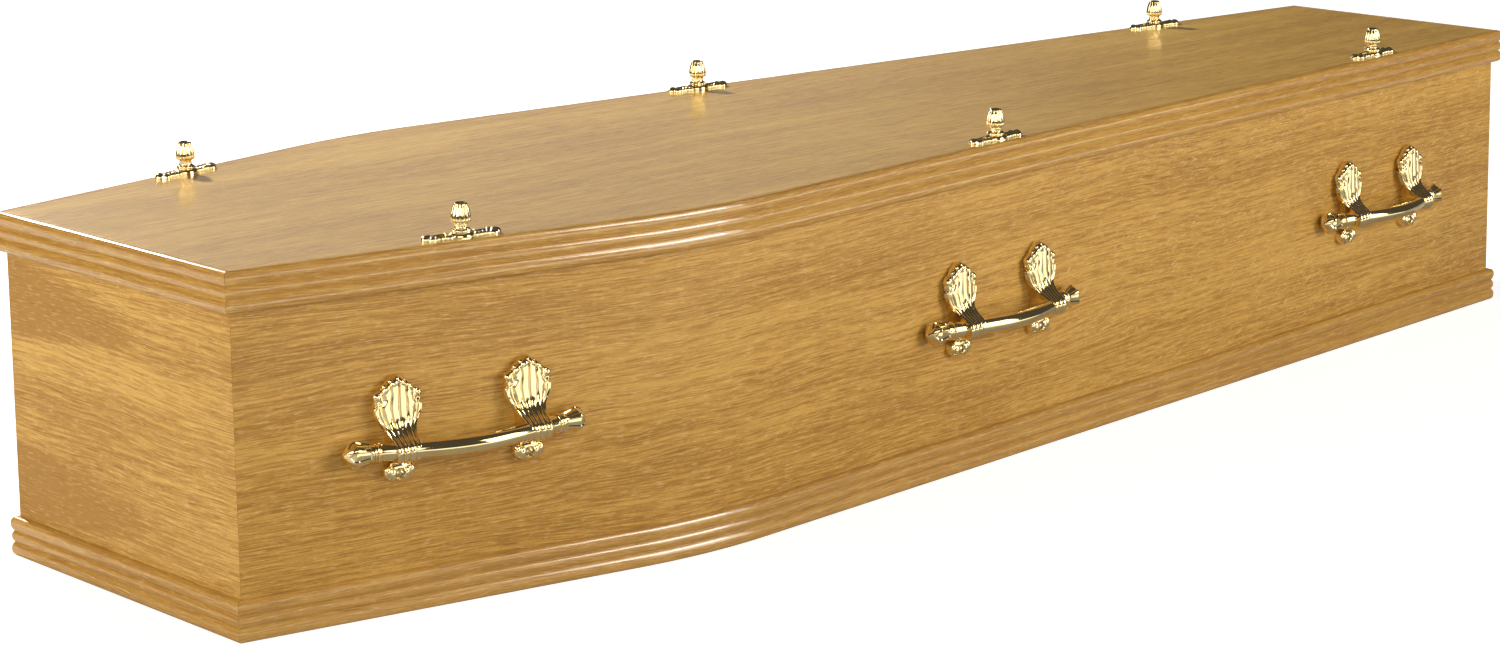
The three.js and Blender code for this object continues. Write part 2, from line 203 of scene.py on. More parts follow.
def place(piece: Object, finish: Material, slot: Slot, *nodes: str) -> None:
    """Dresses a piece and lets it stand for its nodes.

    Args:
        piece: The piece in its place.
        finish: The material.
        slot: The record's slot for the finish; not used.
        nodes: The nodes that the piece stands for.
    """
    piece.data.materials.clear()
    piece.data.materials.append(finish)
    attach(piece, BODY)
    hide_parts(*nodes)
    log.info("%s: %d faces", piece.name, len(piece.data.polygons))


def smoothstep(low: float, high: float, value: np.ndarray) -> np.ndarray:
    """Eases from 0 at low to 1 at high, which may be the smaller one."""
    t = np.clip((value - low) / (high - low), 0.0, 1.0)
    return t * t * (3.0 - 2.0 * t)


def smooth_line(knots: Sequence[Sequence[float]], count: int, fine_steps: int = 24) -> np.ndarray:
    """A Catmull-Rom line through knots, with even steps.

    Args:
        knots: Points of any dimension.
        count: How many points to return.
        fine_steps: Steps between two knots before the line is divided evenly.

    Returns:
        Array of count points.
    """
    p = np.asarray(knots, float)
    p = np.vstack([2 * p[0] - p[1], p, 2 * p[-1] - p[-2]])
    t = np.linspace(0.0, 1.0, fine_steps, endpoint=False)[:, None]
    pieces = []
    for a, b, c, d in zip(p[:-3], p[1:-2], p[2:-1], p[3:]):
        square = 2 * a - 5 * b + 4 * c - d
        cube = 3 * b - a - 3 * c + d
        pieces.append(0.5 * (2 * b + (c - a) * t + square * t**2 + cube * t**3))
    fine = np.vstack([*pieces, p[-2:-1]])
    run = line_run(fine[:, :2])
    steps = np.linspace(0.0, run[-1], count)
    return np.stack([np.interp(steps, run, fine[:, k]) for k in range(fine.shape[1])], axis=1)


def line_run(line: np.ndarray) -> np.ndarray:
    """Distance along a line at each of its points."""
    return np.r_[0.0, np.cumsum(np.linalg.norm(np.diff(line, axis=0), axis=1))]


# Plan


@dataclass(frozen=True)
class Plan:
    """The box's outline in plan and its heights, over the outer faces of the boards."""

    length: float
    head_width: float
    foot_width: float
    height: float
    board: float
    shoulder_width: float = 0.580
    shoulder_from_head: float = 0.495
    bend_radius: float = 0.585
    bend_steps: int = 40
    bar_height: float = 0.164
    handles_from_head: tuple[float, float, float] = (0.227, 0.951, 1.697)
    lid_screws_from_head: tuple[float, float, float] = (0.237, 0.961, 1.699)
    places: tuple[str, str, str] = ("head", "middle", "foot")

    @classmethod
    def from_frame(cls) -> "Plan":
        """Reads the plan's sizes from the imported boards.

        Returns:
            The plan.
        """
        head_low, head_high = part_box("head_board")
        foot_low, foot_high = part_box("foot_board")
        lid_low, lid_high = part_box("lid_board")
        return cls(
            length=foot_high.x - head_low.x,
            head_width=head_high.y - head_low.y + 2 * JOINT_GAP,
            foot_width=foot_high.y - foot_low.y + 2 * JOINT_GAP,
            height=lid_high.z,
            board=lid_high.z - lid_low.z,
        )

    @property
    def head_angle(self) -> float:
        """The angle of the left side's run from the head to the shoulder."""
        return math.atan2((self.shoulder_width - self.head_width) / 2, self.shoulder_from_head)

    @property
    def foot_angle(self) -> float:
        """The angle of the left side's run from the shoulder to the foot."""
        run = self.length - self.shoulder_from_head
        return -math.atan2((self.shoulder_width - self.foot_width) / 2, run)

    def side_line(self, offset: float) -> np.ndarray:
        """The left side's line from the head corner to the foot corner.

        Args:
            offset: How far the line is moved outwards.

        Returns:
            Array of plan points.
        """
        a, b = self.head_angle, self.foot_angle
        head_y = self.head_width / 2 + offset / math.cos(a) - offset * math.tan(a)
        foot_y = self.foot_width / 2 + offset / math.cos(b) + offset * math.tan(b)
        head = (-self.length / 2 - offset, head_y)
        foot = (self.length / 2 + offset, foot_y)
        middle = (a + b) / 2
        away = self.bend_radius / math.cos((a - b) / 2)
        centre_x = self.shoulder_from_head - self.length / 2 + away * math.sin(middle)
        centre_y = self.shoulder_width / 2 - away * math.cos(middle)
        turn = np.linspace(a, b, self.bend_steps + 1)
        radius = self.bend_radius + offset
        arc = np.stack([centre_x - radius * np.sin(turn), centre_y + radius * np.cos(turn)], axis=1)
        return np.vstack([[head], arc, [foot]])

    def outline(self, offset: float) -> np.ndarray:
        """The whole outline, moved outwards by offset, as plan points in order."""
        left = self.side_line(offset)
        return np.vstack([left, (left * [1, -1])[::-1]])

    def side_frame(self, from_head: float, hand: Hand, inset: float, height: float) -> Matrix:
        """A frame on a side face: x along the face, y outwards, z up.

        Args:
            from_head: Distance from the head end.
            hand: Which side.
            inset: How far inside the face the origin is.
            height: The origin's height.

        Returns:
            The frame's matrix.
        """
        angle = self.head_angle if from_head < self.shoulder_from_head else self.foot_angle
        y = self.shoulder_width / 2 + (from_head - self.shoulder_from_head) * math.tan(angle)
        outward = Vector((-math.sin(angle), hand.value * math.cos(angle), 0.0))
        up = Vector((0.0, 0.0, 1.0))
        along = outward.cross(up)
        origin = Vector((from_head - self.length / 2, hand.value * y, height)) - outward * inset
        turned = Matrix((along, outward, up)).transposed().to_4x4()
        return Matrix.Translation(origin) @ turned


# Shader graphs


@dataclass(frozen=True)
class GrainLayer:
    """A layer of noise: repeats per metre along and across the grain, a place of its own and its detail.

    The edges are where its mask starts and is full, and the share is its weight beside other layers.
    """

    along: float
    across: float
    seed: float
    detail: float = 1.0
    roughness: float = 0.5
    edges: Span = (0.0, 1.0)
    share: float = 1.0


SWAY = GrainLayer(1.4, 5.0, 1.0, detail=2.0, share=0.05)
RIPPLE = GrainLayer(9.0, 16.0, 2.0, detail=2.0, share=0.006)
BANDS = GrainLayer(0.9, 24.0, 3.0, detail=3.0, roughness=0.55, share=0.26)
STREAKS = GrainLayer(6.0, 280.0, 4.0, share=0.26)
FIBRES = GrainLayer(26.0, 640.0, 5.0, roughness=0.6, share=0.38)
SPECKLE = GrainLayer(230.0, 420.0, 13.0, share=0.10)
PORES = GrainLayer(30.0, 900.0, 6.0, edges=(0.54, 0.68))
EARLY_WOOD = GrainLayer(1.8, 90.0, 7.0, detail=2.0, edges=(0.40, 0.62), share=0.7)
RISING_FLECKS = GrainLayer(64.0, 430.0, 8.0, edges=(0.62, 0.71))
FALLING_FLECKS = GrainLayer(80.0, 430.0, 14.0, edges=(0.63, 0.72), share=0.75)
FLECK_PATCHES = GrainLayer(7.0, 18.0, 9.0, edges=(0.34, 0.58))
SHORT_FLECKS = GrainLayer(70.0, 520.0, 10.0, edges=(0.56, 0.70), share=0.55)
CLOUDING = GrainLayer(1.0, 1.0, 11.0, detail=3.0, roughness=0.55)
RUBBING = GrainLayer(8.0, 30.0, 12.0, detail=4.0, roughness=0.65)
RISING_DEGREES = -24.0
FALLING_DEGREES = 16.0
FIBRE_HEIGHT = 0.35
PORE_DEPTH = 0.9


@dataclass
class Graph:
    """A node tree with short calls to add nodes and join them."""

    tree: NodeTree

    def node(self, kind: str, values: Values | None = None, **settings: object) -> Node:
        """Adds a node.

        Args:
            kind: The node's type name.
            values: Input name or index to a value, or to an output socket that is linked to it.
            settings: Properties of the node.

        Returns:
            The node.
        """
        made = self.tree.nodes.new(kind)
        for key, value in settings.items():
            setattr(made, key, value)
        for key, value in (values or {}).items():
            if isinstance(value, NodeSocket):
                self.tree.links.new(value, made.inputs[key])
            else:
                made.inputs[key].default_value = value
        return made

    def math(self, operation: str, *values: object) -> NodeSocket:
        """The output of a math node."""
        return self.node("ShaderNodeMath", dict(enumerate(values)), operation=operation).outputs[0]

    def swing(self, value: NodeSocket) -> NodeSocket:
        """A noise value moved so that it swings about zero."""
        return self.math("SUBTRACT", value, 0.5)

    def total(self, *parts: tuple[NodeSocket, float]) -> NodeSocket:
        """Adds values up.

        Args:
            parts: Each value with its share.

        Returns:
            The sum of each value times its share.
        """
        terms = [self.math("MULTIPLY", value, share) for value, share in parts]
        result = terms[0]
        for term in terms[1:]:
            result = self.math("ADD", result, term)
        return result

    def layer(self, vector: NodeSocket, layer: GrainLayer) -> NodeSocket:
        """Adds a layer of noise.

        Args:
            vector: Grain coordinates in metres.
            layer: The layer.

        Returns:
            The noise's value.
        """
        scale = (layer.along, layer.across, 1.0)
        location = (layer.seed * 1.7, layer.seed * 3.1, layer.seed)
        mapped = self.node("ShaderNodeMapping", {"Vector": vector, "Scale": scale, "Location": location})
        values = {
            "Vector": mapped.outputs[0],
            "Scale": 1.0,
            "Detail": layer.detail,
            "Roughness": layer.roughness,
        }
        return self.node("ShaderNodeTexNoise", values, noise_dimensions="3D").outputs[0]

    def ramp(self, value: NodeSocket, low: float, high: float) -> NodeSocket:
        """Maps low to 0 and high to 1, clamped and eased."""
        values = {"Value": value, "From Min": low, "From Max": high}
        return self.node("ShaderNodeMapRange", values, interpolation_type="SMOOTHSTEP").outputs[0]

    def mask(self, vector: NodeSocket, layer: GrainLayer) -> NodeSocket:
        """A layer of noise between its edges, times its share."""
        return self.math("MULTIPLY", self.ramp(self.layer(vector, layer), *layer.edges), layer.share)

    def mix(self, factor: object, first: object, second: object) -> NodeSocket:
        """A colour between two others."""
        values = {0: factor, 6: first, 7: second}
        return self.node("ShaderNodeMix", values, data_type="RGBA", clamp_factor=True).outputs[2]

    def surface(self, values: Values) -> None:
        """Adds the shader of a surface and the material's output."""
        shader = self.node("ShaderNodeBsdfPrincipled", values)
        self.node("ShaderNodeOutputMaterial", {"Surface": shader.outputs[0]})


def new_material(name: str) -> tuple[Material, Graph]:
    """Starts a material.

    Args:
        name: The material's name.

    Returns:
        The material and the graph of its empty node tree.
    """
    made = bpy.data.materials.new(name)
    made.use_nodes = True
    made.node_tree.nodes.clear()
    return made, Graph(made.node_tree)


def new_group(name: str, inputs: dict[str, str], outputs: dict[str, str]) -> tuple[Graph, Node, Node]:
    """Starts a shader node group.

    Args:
        name: The group's name.
        inputs: Input names and socket types.
        outputs: Output names and socket types.

    Returns:
        The group's graph, its input node and its output node.
    """
    tree = bpy.data.node_groups.new(name, "ShaderNodeTree")
    for way, sockets in (("INPUT", inputs), ("OUTPUT", outputs)):
        for label, kind in sockets.items():
            tree.interface.new_socket(label, in_out=way, socket_type=kind)
    graph = Graph(tree)
    return graph, graph.node("NodeGroupInput"), graph.node("NodeGroupOutput")


def oak_figure_group() -> NodeTree:
    """The figure of oak: streaks, fibres, open pores and ray flecks, from grain coordinates in metres.

    Returns:
        The node group.
    """
    scalar = "NodeSocketFloat"
    inputs = {"Grain": "NodeSocketVector", "Ray Cover": scalar, "Band Width": scalar}
    outputs = {"Tone": scalar, "Pores": scalar, "Rays": scalar, "Height": scalar}
    g, given, made = new_group("oak_figure", inputs, outputs)
    grain = given.outputs["Grain"]
    sway, ripple = (g.swing(g.layer(grain, layer)) for layer in (SWAY, RIPPLE))
    shift = g.node("ShaderNodeCombineXYZ", {1: g.total((sway, SWAY.share), (ripple, RIPPLE.share))})
    flow = g.node("ShaderNodeVectorMath", {0: grain, 1: shift.outputs[0]}).outputs[0]
    banded = g.node("ShaderNodeCombineXYZ", {0: 1.0, 1: given.outputs["Band Width"], 2: 1.0}).outputs[0]
    wide = g.node("ShaderNodeVectorMath", {0: flow, 1: banded}, operation="MULTIPLY").outputs[0]
    fibres = g.layer(flow, FIBRES)
    tone = g.total(
        (g.layer(wide, BANDS), BANDS.share),
        (g.layer(flow, STREAKS), STREAKS.share),
        (fibres, FIBRES.share),
        (g.layer(grain, SPECKLE), SPECKLE.share),
    )
    early_wood = g.math("ADD", g.mask(flow, EARLY_WOOD), 1 - EARLY_WOOD.share)
    pores = g.math("MULTIPLY", g.mask(flow, PORES), early_wood)
    flecks = []
    for layer, degrees in ((RISING_FLECKS, RISING_DEGREES), (FALLING_FLECKS, FALLING_DEGREES)):
        slant = {0: flow, "Angle": math.radians(degrees)}
        turned = g.node("ShaderNodeVectorRotate", slant, rotation_type="Z_AXIS").outputs[0]
        flecks.append(g.mask(turned, layer))
    curled = g.math("MULTIPLY", g.math("MAXIMUM", *flecks), g.mask(grain, FLECK_PATCHES))
    curled = g.math("MULTIPLY", curled, given.outputs["Ray Cover"])
    rays = g.math("MAXIMUM", curled, g.mask(flow, SHORT_FLECKS))
    height = g.total((fibres, FIBRE_HEIGHT), (pores, -PORE_DEPTH))
    for label, socket in (("Tone", tone), ("Pores", pores), ("Rays", rays), ("Height", height)):
        g.tree.links.new(socket, made.inputs[label])
    return g.tree


def handling_group() -> NodeTree:
    """Faint clouding and fine rubbing marks of a handled finish, from object coordinates.

    Returns:
        The node group.
    """
    scalar = "NodeSocketFloat"
    g, given, made = new_group("handling_marks", {"Size": scalar}, {"Cloud": scalar, "Rubbing": scalar})
    where = g.node("ShaderNodeTexCoord").outputs["Object"]
    sized = {0: where, 3: given.outputs["Size"]}
    scaled = g.node("ShaderNodeVectorMath", sized, operation="SCALE").outputs[0]
    for label, layer in (("Cloud", CLOUDING), ("Rubbing", RUBBING)):
        g.tree.links.new(g.layer(scaled, layer), made.inputs[label])
    return g.tree


# Finishes


@dataclass(frozen=True)
class Tongue:
    """A dark pointed figure in the veneer, in grain coordinates."""

    tip: float
    middle: float
    length: float
    half_width: float
    ragged: float = 1.6
    edges: Span = (0.35, -0.45)
    depth: float = 0.17


@dataclass(frozen=True)
class OakFinish:
    """Lacquered oak, with its colours and the share of each kind of figure.

    Ray flecks grow from ray_start to ray_full along the grain, and are never fewer than ray_least.
    """

    name: str
    pale: Colour
    deep: Colour
    pore: Colour = (0.22, 0.095, 0.016)
    ray: Colour = (0.80, 0.56, 0.24)
    ray_start: float = 5.0
    ray_full: float = 6.0
    ray_least: float = 0.0
    ray_share: float = 0.55
    pore_share: float = 0.55
    band_width: float = 1.0
    tone_edges: Span = (0.40, 0.61)
    cloud_size: float = 3.0
    cloud_share: float = 0.16
    roughness: float = 0.42
    pore_roughness: float = 0.18
    rubbing_roughness: float = 0.06
    specular: float = 0.3
    coat: float = 0.15
    coat_roughness: float = 0.16
    coat_ior: float = 1.5
    bump_mm: float = 0.10
    bump_strength: float = 0.5
    tongues: tuple[Tongue, ...] = ()

    def material(self, figure: NodeTree, handling: NodeTree) -> Material:
        """Makes the material.

        Args:
            figure: The oak figure group.
            handling: The handling marks group.

        Returns:
            The material.
        """
        made, g = new_material(self.name)
        grain = g.node("ShaderNodeUVMap", uv_map=GRAIN).outputs[0]
        along = g.node("ShaderNodeSeparateXYZ", {0: grain})
        cover = g.math("MAXIMUM", g.ramp(along.outputs[0], self.ray_start, self.ray_full), self.ray_least)
        oak = g.node("ShaderNodeGroup", node_tree=figure)
        g.tree.links.new(grain, oak.inputs["Grain"])
        g.tree.links.new(cover, oak.inputs["Ray Cover"])
        oak.inputs["Band Width"].default_value = self.band_width
        marks = g.node("ShaderNodeGroup", node_tree=handling)
        marks.inputs["Size"].default_value = self.cloud_size
        pores, rays = oak.outputs["Pores"], oak.outputs["Rays"]
        tone = oak.outputs["Tone"]
        for tongue in self.tongues:
            tone = self._darken(g, along, tone, oak.outputs["Tone"], tongue)
        cloud = g.math("MULTIPLY", g.swing(marks.outputs["Cloud"]), self.cloud_share)
        tone = g.ramp(g.math("ADD", tone, cloud), *self.tone_edges)
        wood = g.mix(tone, (*self.deep, 1.0), (*self.pale, 1.0))
        wood = g.mix(g.math("MULTIPLY", rays, self.ray_share), wood, (*self.ray, 1.0))
        wood = g.mix(g.math("MULTIPLY", pores, self.pore_share), wood, (*self.pore, 1.0))
        rough = g.total((pores, self.pore_roughness), (marks.outputs["Rubbing"], self.rubbing_roughness))
        rough = g.math("ADD", rough, self.roughness - self.rubbing_roughness / 2)
        bump = g.node("ShaderNodeBump", {"Strength": self.bump_strength, "Distance": self.bump_mm * MM})
        g.tree.links.new(oak.outputs["Height"], bump.inputs["Height"])
        g.surface(
            {
                "Base Color": wood,
                "Roughness": rough,
                "Specular IOR Level": self.specular,
                "Normal": bump.outputs[0],
                "Coat Weight": self.coat,
                "Coat Roughness": self.coat_roughness,
                "Coat IOR": self.coat_ior,
            }
        )
        return made

    @staticmethod
    def _darken(g: Graph, along: Node, tone: NodeSocket, figure: NodeSocket, tongue: Tongue) -> NodeSocket:
        """Lowers the tone inside a tongue of darker wood.

        Args:
            g: The material's graph.
            along: The node that separates the grain coordinates.
            tone: The tone so far.
            figure: A varying value that breaks the tongue's edge.
            tongue: The tongue's place and size.

        Returns:
            The new tone.
        """
        lengthwise = g.math("DIVIDE", g.math("SUBTRACT", tongue.tip, along.outputs[0]), tongue.length)
        aside = g.math("DIVIDE", g.math("SUBTRACT", along.outputs[1], tongue.middle), tongue.half_width)
        inside = g.math("ADD", lengthwise, g.math("POWER", g.math("ABSOLUTE", aside), 2.0))
        inside = g.math("ADD", inside, g.math("MULTIPLY", g.swing(figure), tongue.ragged))
        return g.math("SUBTRACT", tone, g.math("MULTIPLY", g.ramp(inside, *tongue.edges), tongue.depth))


@dataclass(frozen=True)
class MetalFinish:
    """A bright plated metal with faint clouding and rubbing."""

    name: str
    colour: Colour
    tarnish: Colour
    roughness: float
    tarnish_share: float = 0.5
    cloud_size: float = 90.0
    cloud_edges: Span = (0.35, 0.75)
    rubbing_roughness: float = 0.07
    bump_mm: float = 0.006
    bump_strength: float = 0.4

    def material(self, handling: NodeTree) -> Material:
        """Makes the material.

        Args:
            handling: The handling marks group.

        Returns:
            The material.
        """
        made, g = new_material(self.name)
        marks = g.node("ShaderNodeGroup", node_tree=handling)
        marks.inputs["Size"].default_value = self.cloud_size
        rubbing = marks.outputs["Rubbing"]
        cloud = g.math("MULTIPLY", g.ramp(marks.outputs["Cloud"], *self.cloud_edges), self.tarnish_share)
        colour = g.mix(cloud, (*self.colour, 1.0), (*self.tarnish, 1.0))
        rough = g.math("MULTIPLY", rubbing, self.rubbing_roughness)
        rough = g.math("ADD", rough, self.roughness - self.rubbing_roughness / 2)
        bump = g.node("ShaderNodeBump", {"Strength": self.bump_strength, "Distance": self.bump_mm * MM})
        g.tree.links.new(rubbing, bump.inputs["Height"])
        g.surface({"Base Color": colour, "Roughness": rough, "Normal": bump.outputs[0], "Metallic": 1.0})
        return made


@dataclass
class Finishes:
    """All the materials of the coffin."""

    side: Material
    head: Material
    lid: Material
    moulding: Material
    brass: Material
    screw: Material

    @classmethod
    def make(cls) -> "Finishes":
        """Builds the shared groups and every material.

        Returns:
            The materials.
        """
        figure, handling = oak_figure_group(), handling_group()
        side = OakFinish(
            "oak_side_veneer",
            pale=(0.60, 0.342, 0.070),
            deep=(0.36, 0.172, 0.024),
            ray_start=0.35,
            ray_full=1.50,
            ray_least=0.16,
        )
        head = OakFinish(
            "oak_head_veneer",
            pale=(0.64, 0.380, 0.086),
            deep=(0.39, 0.192, 0.026),
            band_width=0.8,
            tongues=(Tongue(-0.02, 0.268, 0.16, 0.038), Tongue(-0.01, 0.078, 0.15, 0.036)),
        )
        lid = OakFinish(
            "oak_lid_veneer",
            pale=(0.64, 0.385, 0.080),
            deep=(0.39, 0.200, 0.030),
            ray_start=0.8,
            ray_full=3.2,
            ray_least=0.03,
            roughness=0.34,
            coat=0.55,
            coat_roughness=0.14,
        )
        moulding = OakFinish(
            "oak_moulding",
            pale=(0.58, 0.326, 0.066),
            deep=(0.43, 0.210, 0.034),
            band_width=1.6,
            roughness=0.36,
            coat=0.8,
            coat_roughness=0.07,
            coat_ior=1.8,
        )
        brass = MetalFinish("electro_brass", (0.90, 0.74, 0.40), (0.82, 0.62, 0.27), 0.075)
        screw = MetalFinish("brassed_steel", (0.60, 0.49, 0.27), (0.36, 0.28, 0.14), 0.26)
        oak = [finish.material(figure, handling) for finish in (side, head, lid, moulding)]
        return cls(*oak, brass.material(handling), screw.material(handling))


# Boards and mouldings


def ring_run(ring: np.ndarray) -> np.ndarray:
    """Distance round a closed ring of points, with the full turn as its last value."""
    return line_run(np.vstack([ring, ring[:1]]))


def rounded_section(out: float, back: float, low: float, high: float, radius: float) -> np.ndarray:
    """A board's section with eased corners and a support point on the flat beside each arc.

    Args:
        out: Offset of the outer face.
        back: Offset of the inner face.
        low: Height of the lower edge.
        high: Height of the upper edge.
        radius: Radius of the eased corners.

    Returns:
        Ring of offsets and heights, from the outer face's lower corner upwards.
    """
    corners = [
        (out - radius, low + radius, -90, 0),
        (out - radius, high - radius, 0, 90),
        (back + radius, high - radius, 90, 180),
        (back + radius, low + radius, 180, 270),
    ]
    ring = []
    for x, y, start, stop in corners:
        turn = np.radians(np.linspace(start, stop, 5))
        arc = np.stack([x + radius * np.cos(turn), y + radius * np.sin(turn)], axis=1)
        before = arc[0] + radius * np.array([np.sin(turn[0]), -np.cos(turn[0])])
        after = arc[-1] + radius * np.array([-np.sin(turn[-1]), np.cos(turn[-1])])
        ring.append(np.vstack([before, arc, after]))
    return np.vstack(ring)


@dataclass
class Strip:
    """A board or moulding of constant section that follows one side or one end of the plan."""

    plan: Plan
    section: np.ndarray
    end_steps: int = 9
    end_grain_share: float = 0.4

    def _close(self, name: str, points: np.ndarray, along: np.ndarray) -> Object:
        """Skins the rings and closes both ends.

        Args:
            name: The piece's name.
            points: Rings of points.
            along: Grain distance of each ring.

        Returns:
            The piece.
        """
        rows, columns = points.shape[:2]
        grain = np.zeros((rows, columns + 1, 2))
        grain[..., 0] = along[:, None]
        grain[..., 1] = ring_run(self.section) + self.section[0, 1]
        ends = []
        for row in (0, -1):
            ends.append([(along[row] + self.end_grain_share * out, z) for out, z in self.section])
        draft = MeshDraft()
        draft.tube(points, grain, ends)
        return draft.finish(name, BOARD_SHARP)

    def along_side(self, name: str, hand: Hand) -> Object:
        """The strip along one side, mitred at both ends.

        Args:
            name: The piece's name.
            hand: Which side.

        Returns:
            The piece.
        """
        lines = np.stack([self.plan.side_line(s[0]) for s in self.section], axis=1)
        heights = np.broadcast_to(self.section[:, 1], lines.shape[:2])[..., None]
        points = np.concatenate([lines * [1, hand.value], heights], axis=2)
        return self._close(name, points, line_run(self.plan.side_line(0.0)))

    def across_end(self, name: str, end: End) -> Object:
        """The strip across one end, mitred at both corners.

        Args:
            name: The piece's name.
            end: Which end.

        Returns:
            The piece.
        """
        corners = np.array([self.plan.side_line(s[0])[end.value] for s in self.section])
        widths = np.linspace(1.0, -1.0, self.end_steps)
        y = widths[:, None] * (corners[:, 1] - JOINT_GAP)[None, :]
        x = np.broadcast_to(corners[:, 0], y.shape)
        z = np.broadcast_to(self.section[:, 1], y.shape)
        return self._close(name, np.stack([x, y, z], axis=2), y.mean(axis=1))


@dataclass
class Boards:
    """The box's five boards and the lid board."""

    plan: Plan
    finishes: Finishes
    ease: float = 0.0008
    lid_ease: float = 0.0006

    def build(self) -> None:
        """Builds and dresses the boards."""
        plan, finishes = self.plan, self.finishes
        upright = rounded_section(0.0, -plan.board, 0.0, plan.height - plan.board, self.ease)
        strip = Strip(plan, upright)
        for hand in Hand:
            name = f"side_board_{hand.word}"
            place(strip.along_side(f"veneered_{name}", hand), finishes.side, Slot.VENEER, name)
        for end in End:
            name = f"{end.word}_board"
            place(strip.across_end(f"veneered_{name}", end), finishes.head, Slot.VENEER, name)
        lid = self._plate("veneered_lid_board", LID_OVERHANG, plan.height - plan.board, plan.height)
        place(lid, finishes.lid, Slot.VENEER, "lid_board")
        base = self._plate("veneered_base_board", -plan.board - JOINT_GAP, 0.0, plan.board)
        place(base, finishes.lid, Slot.VENEER, "base_board")

    def _plate(self, name: str, offset: float, low: float, high: float) -> Object:
        """A flat board with the plan's outline, eased edges and a support ring beside each edge.

        Args:
            name: The piece's name.
            offset: The outline's offset.
            low: Height of the underside.
            high: Height of the upper face.

        Returns:
            The piece.
        """
        ease = self.lid_ease
        cut = 0.3 * ease
        levels = [(offset - 2 * ease, low), (offset - ease, low), (offset - cut, low + cut)]
        levels += [(offset, low + ease), (offset, low + 2 * ease)]
        levels += [(out, low + high - z) for out, z in reversed(levels)]
        rings = []
        for out, z in levels:
            outline = self.plan.outline(out)
            rings.append(np.c_[outline, np.full(len(outline), z)])
        points = np.stack(rings)
        flat = points[..., :2] + [self.plan.length / 2, 0.0]
        grain = np.concatenate([flat, flat[:, :1]], axis=1)
        draft = MeshDraft()
        draft.tube(points, grain, (flat[0], flat[-1]))
        return draft.finish(name, BOARD_SHARP)


@dataclass
class Mouldings:
    """The reeded mouldings round the lid and the base."""

    plan: Plan
    finishes: Finishes
    height_mm: float = 40.0
    depth_mm: float = 7.5
    middle_depth_mm: float = 7.0
    valley_depth_mm: float = 4.7
    valley_height_mm: float = 14.3
    crown_height_mm: float = 6.5
    edge_round_mm: float = 4.0
    back_ease_mm: float = 0.4
    reed_turn: float = 58.0
    arc_steps: int = 8

    def build(self) -> None:
        """Builds and dresses the eight strips."""
        lid_low = self.plan.height - self.height_mm * MM
        for ring, back, low in (
            ("base_moulding", JOINT_GAP, 0.0),
            ("lid_moulding", LID_OVERHANG + JOINT_GAP, lid_low),
        ):
            strip = Strip(self.plan, self.section(back, low))
            for hand in Hand:
                name = f"{ring}_{hand.word}"
                place(strip.along_side(f"reeded_{name}", hand), self.finishes.moulding, Slot.MOULDING, name)
            for end in End:
                name = f"{ring}_{end.word}"
                place(strip.across_end(f"reeded_{name}", end), self.finishes.moulding, Slot.MOULDING, name)

    def section(self, back: float, low: float) -> np.ndarray:
        """The moulding's section: three reeds between eased edges.

        Args:
            back: Offset of the moulding's back.
            low: Height of its lower edge.

        Returns:
            Ring of offsets and heights in metres.
        """
        half = self.height_mm / 2
        turn = np.radians(np.linspace(-90, 0, self.arc_steps))
        depth = self.depth_mm - self.edge_round_mm * (1 - np.cos(turn))
        edge = np.stack([depth, self.crown_height_mm * (1 + np.sin(turn))], axis=1)
        back_edge = [[0.0, self.back_ease_mm], [self.back_ease_mm, 0.0]]
        outer = self._reed(self.depth_mm, self.crown_height_mm)
        inner = self._reed(self.middle_depth_mm, half)[::-1]
        lower = np.vstack([back_edge, edge, outer[1:], inner[1:]])
        upper = (lower * [1, -1] + [0, self.height_mm])[::-1]
        ring = np.vstack([lower, upper[1:]])
        return ring * MM + [back, low]

    def _reed(self, crown: float, crown_at: float) -> np.ndarray:
        """Half of a reed's arc, from its crown to the valley.

        Args:
            crown: Depth at the crown.
            crown_at: Height of the crown.

        Returns:
            Points of depth and height in millimetres.
        """
        turn = np.radians(np.linspace(0.0, self.reed_turn, self.arc_steps))
        drop = (1 - np.cos(turn)) / (1 - np.cos(turn[-1]))
        reach = np.sin(turn) / np.sin(turn[-1])
        depth = crown - (crown - self.valley_depth_mm) * drop
        height = crown_at + (self.valley_height_mm - crown_at) * reach
        return np.stack([depth, height], axis=1)


# Handles


@dataclass(frozen=True)
class Hump:
    """A smooth hump about a middle value."""

    middle: float
    width: float
    height: float

    def at(self, value: np.ndarray) -> np.ndarray:
        """The hump's height at values."""
        return self.height * np.exp(-(((value - self.middle) / self.width) ** 2))


@dataclass(frozen=True)
class Lobe:
    """A rounded lobe of the lug's foot, in millimetres from the screw."""

    x: float
    z: float
    half_width: float
    half_height: float
    rise: float

    def far(self, x: np.ndarray, z: np.ndarray) -> np.ndarray:
        """How far points lie from the lobe's middle, 1 on its rim."""
        return np.hypot((x - self.x) / self.half_width, (z - self.z) / self.half_height)

    def dome(self, x: np.ndarray, z: np.ndarray) -> np.ndarray:
        """The lobe's height at points."""
        return self.rise * np.sqrt(np.clip(1 - self.far(x, z) ** 2, 0.0, 1.0))


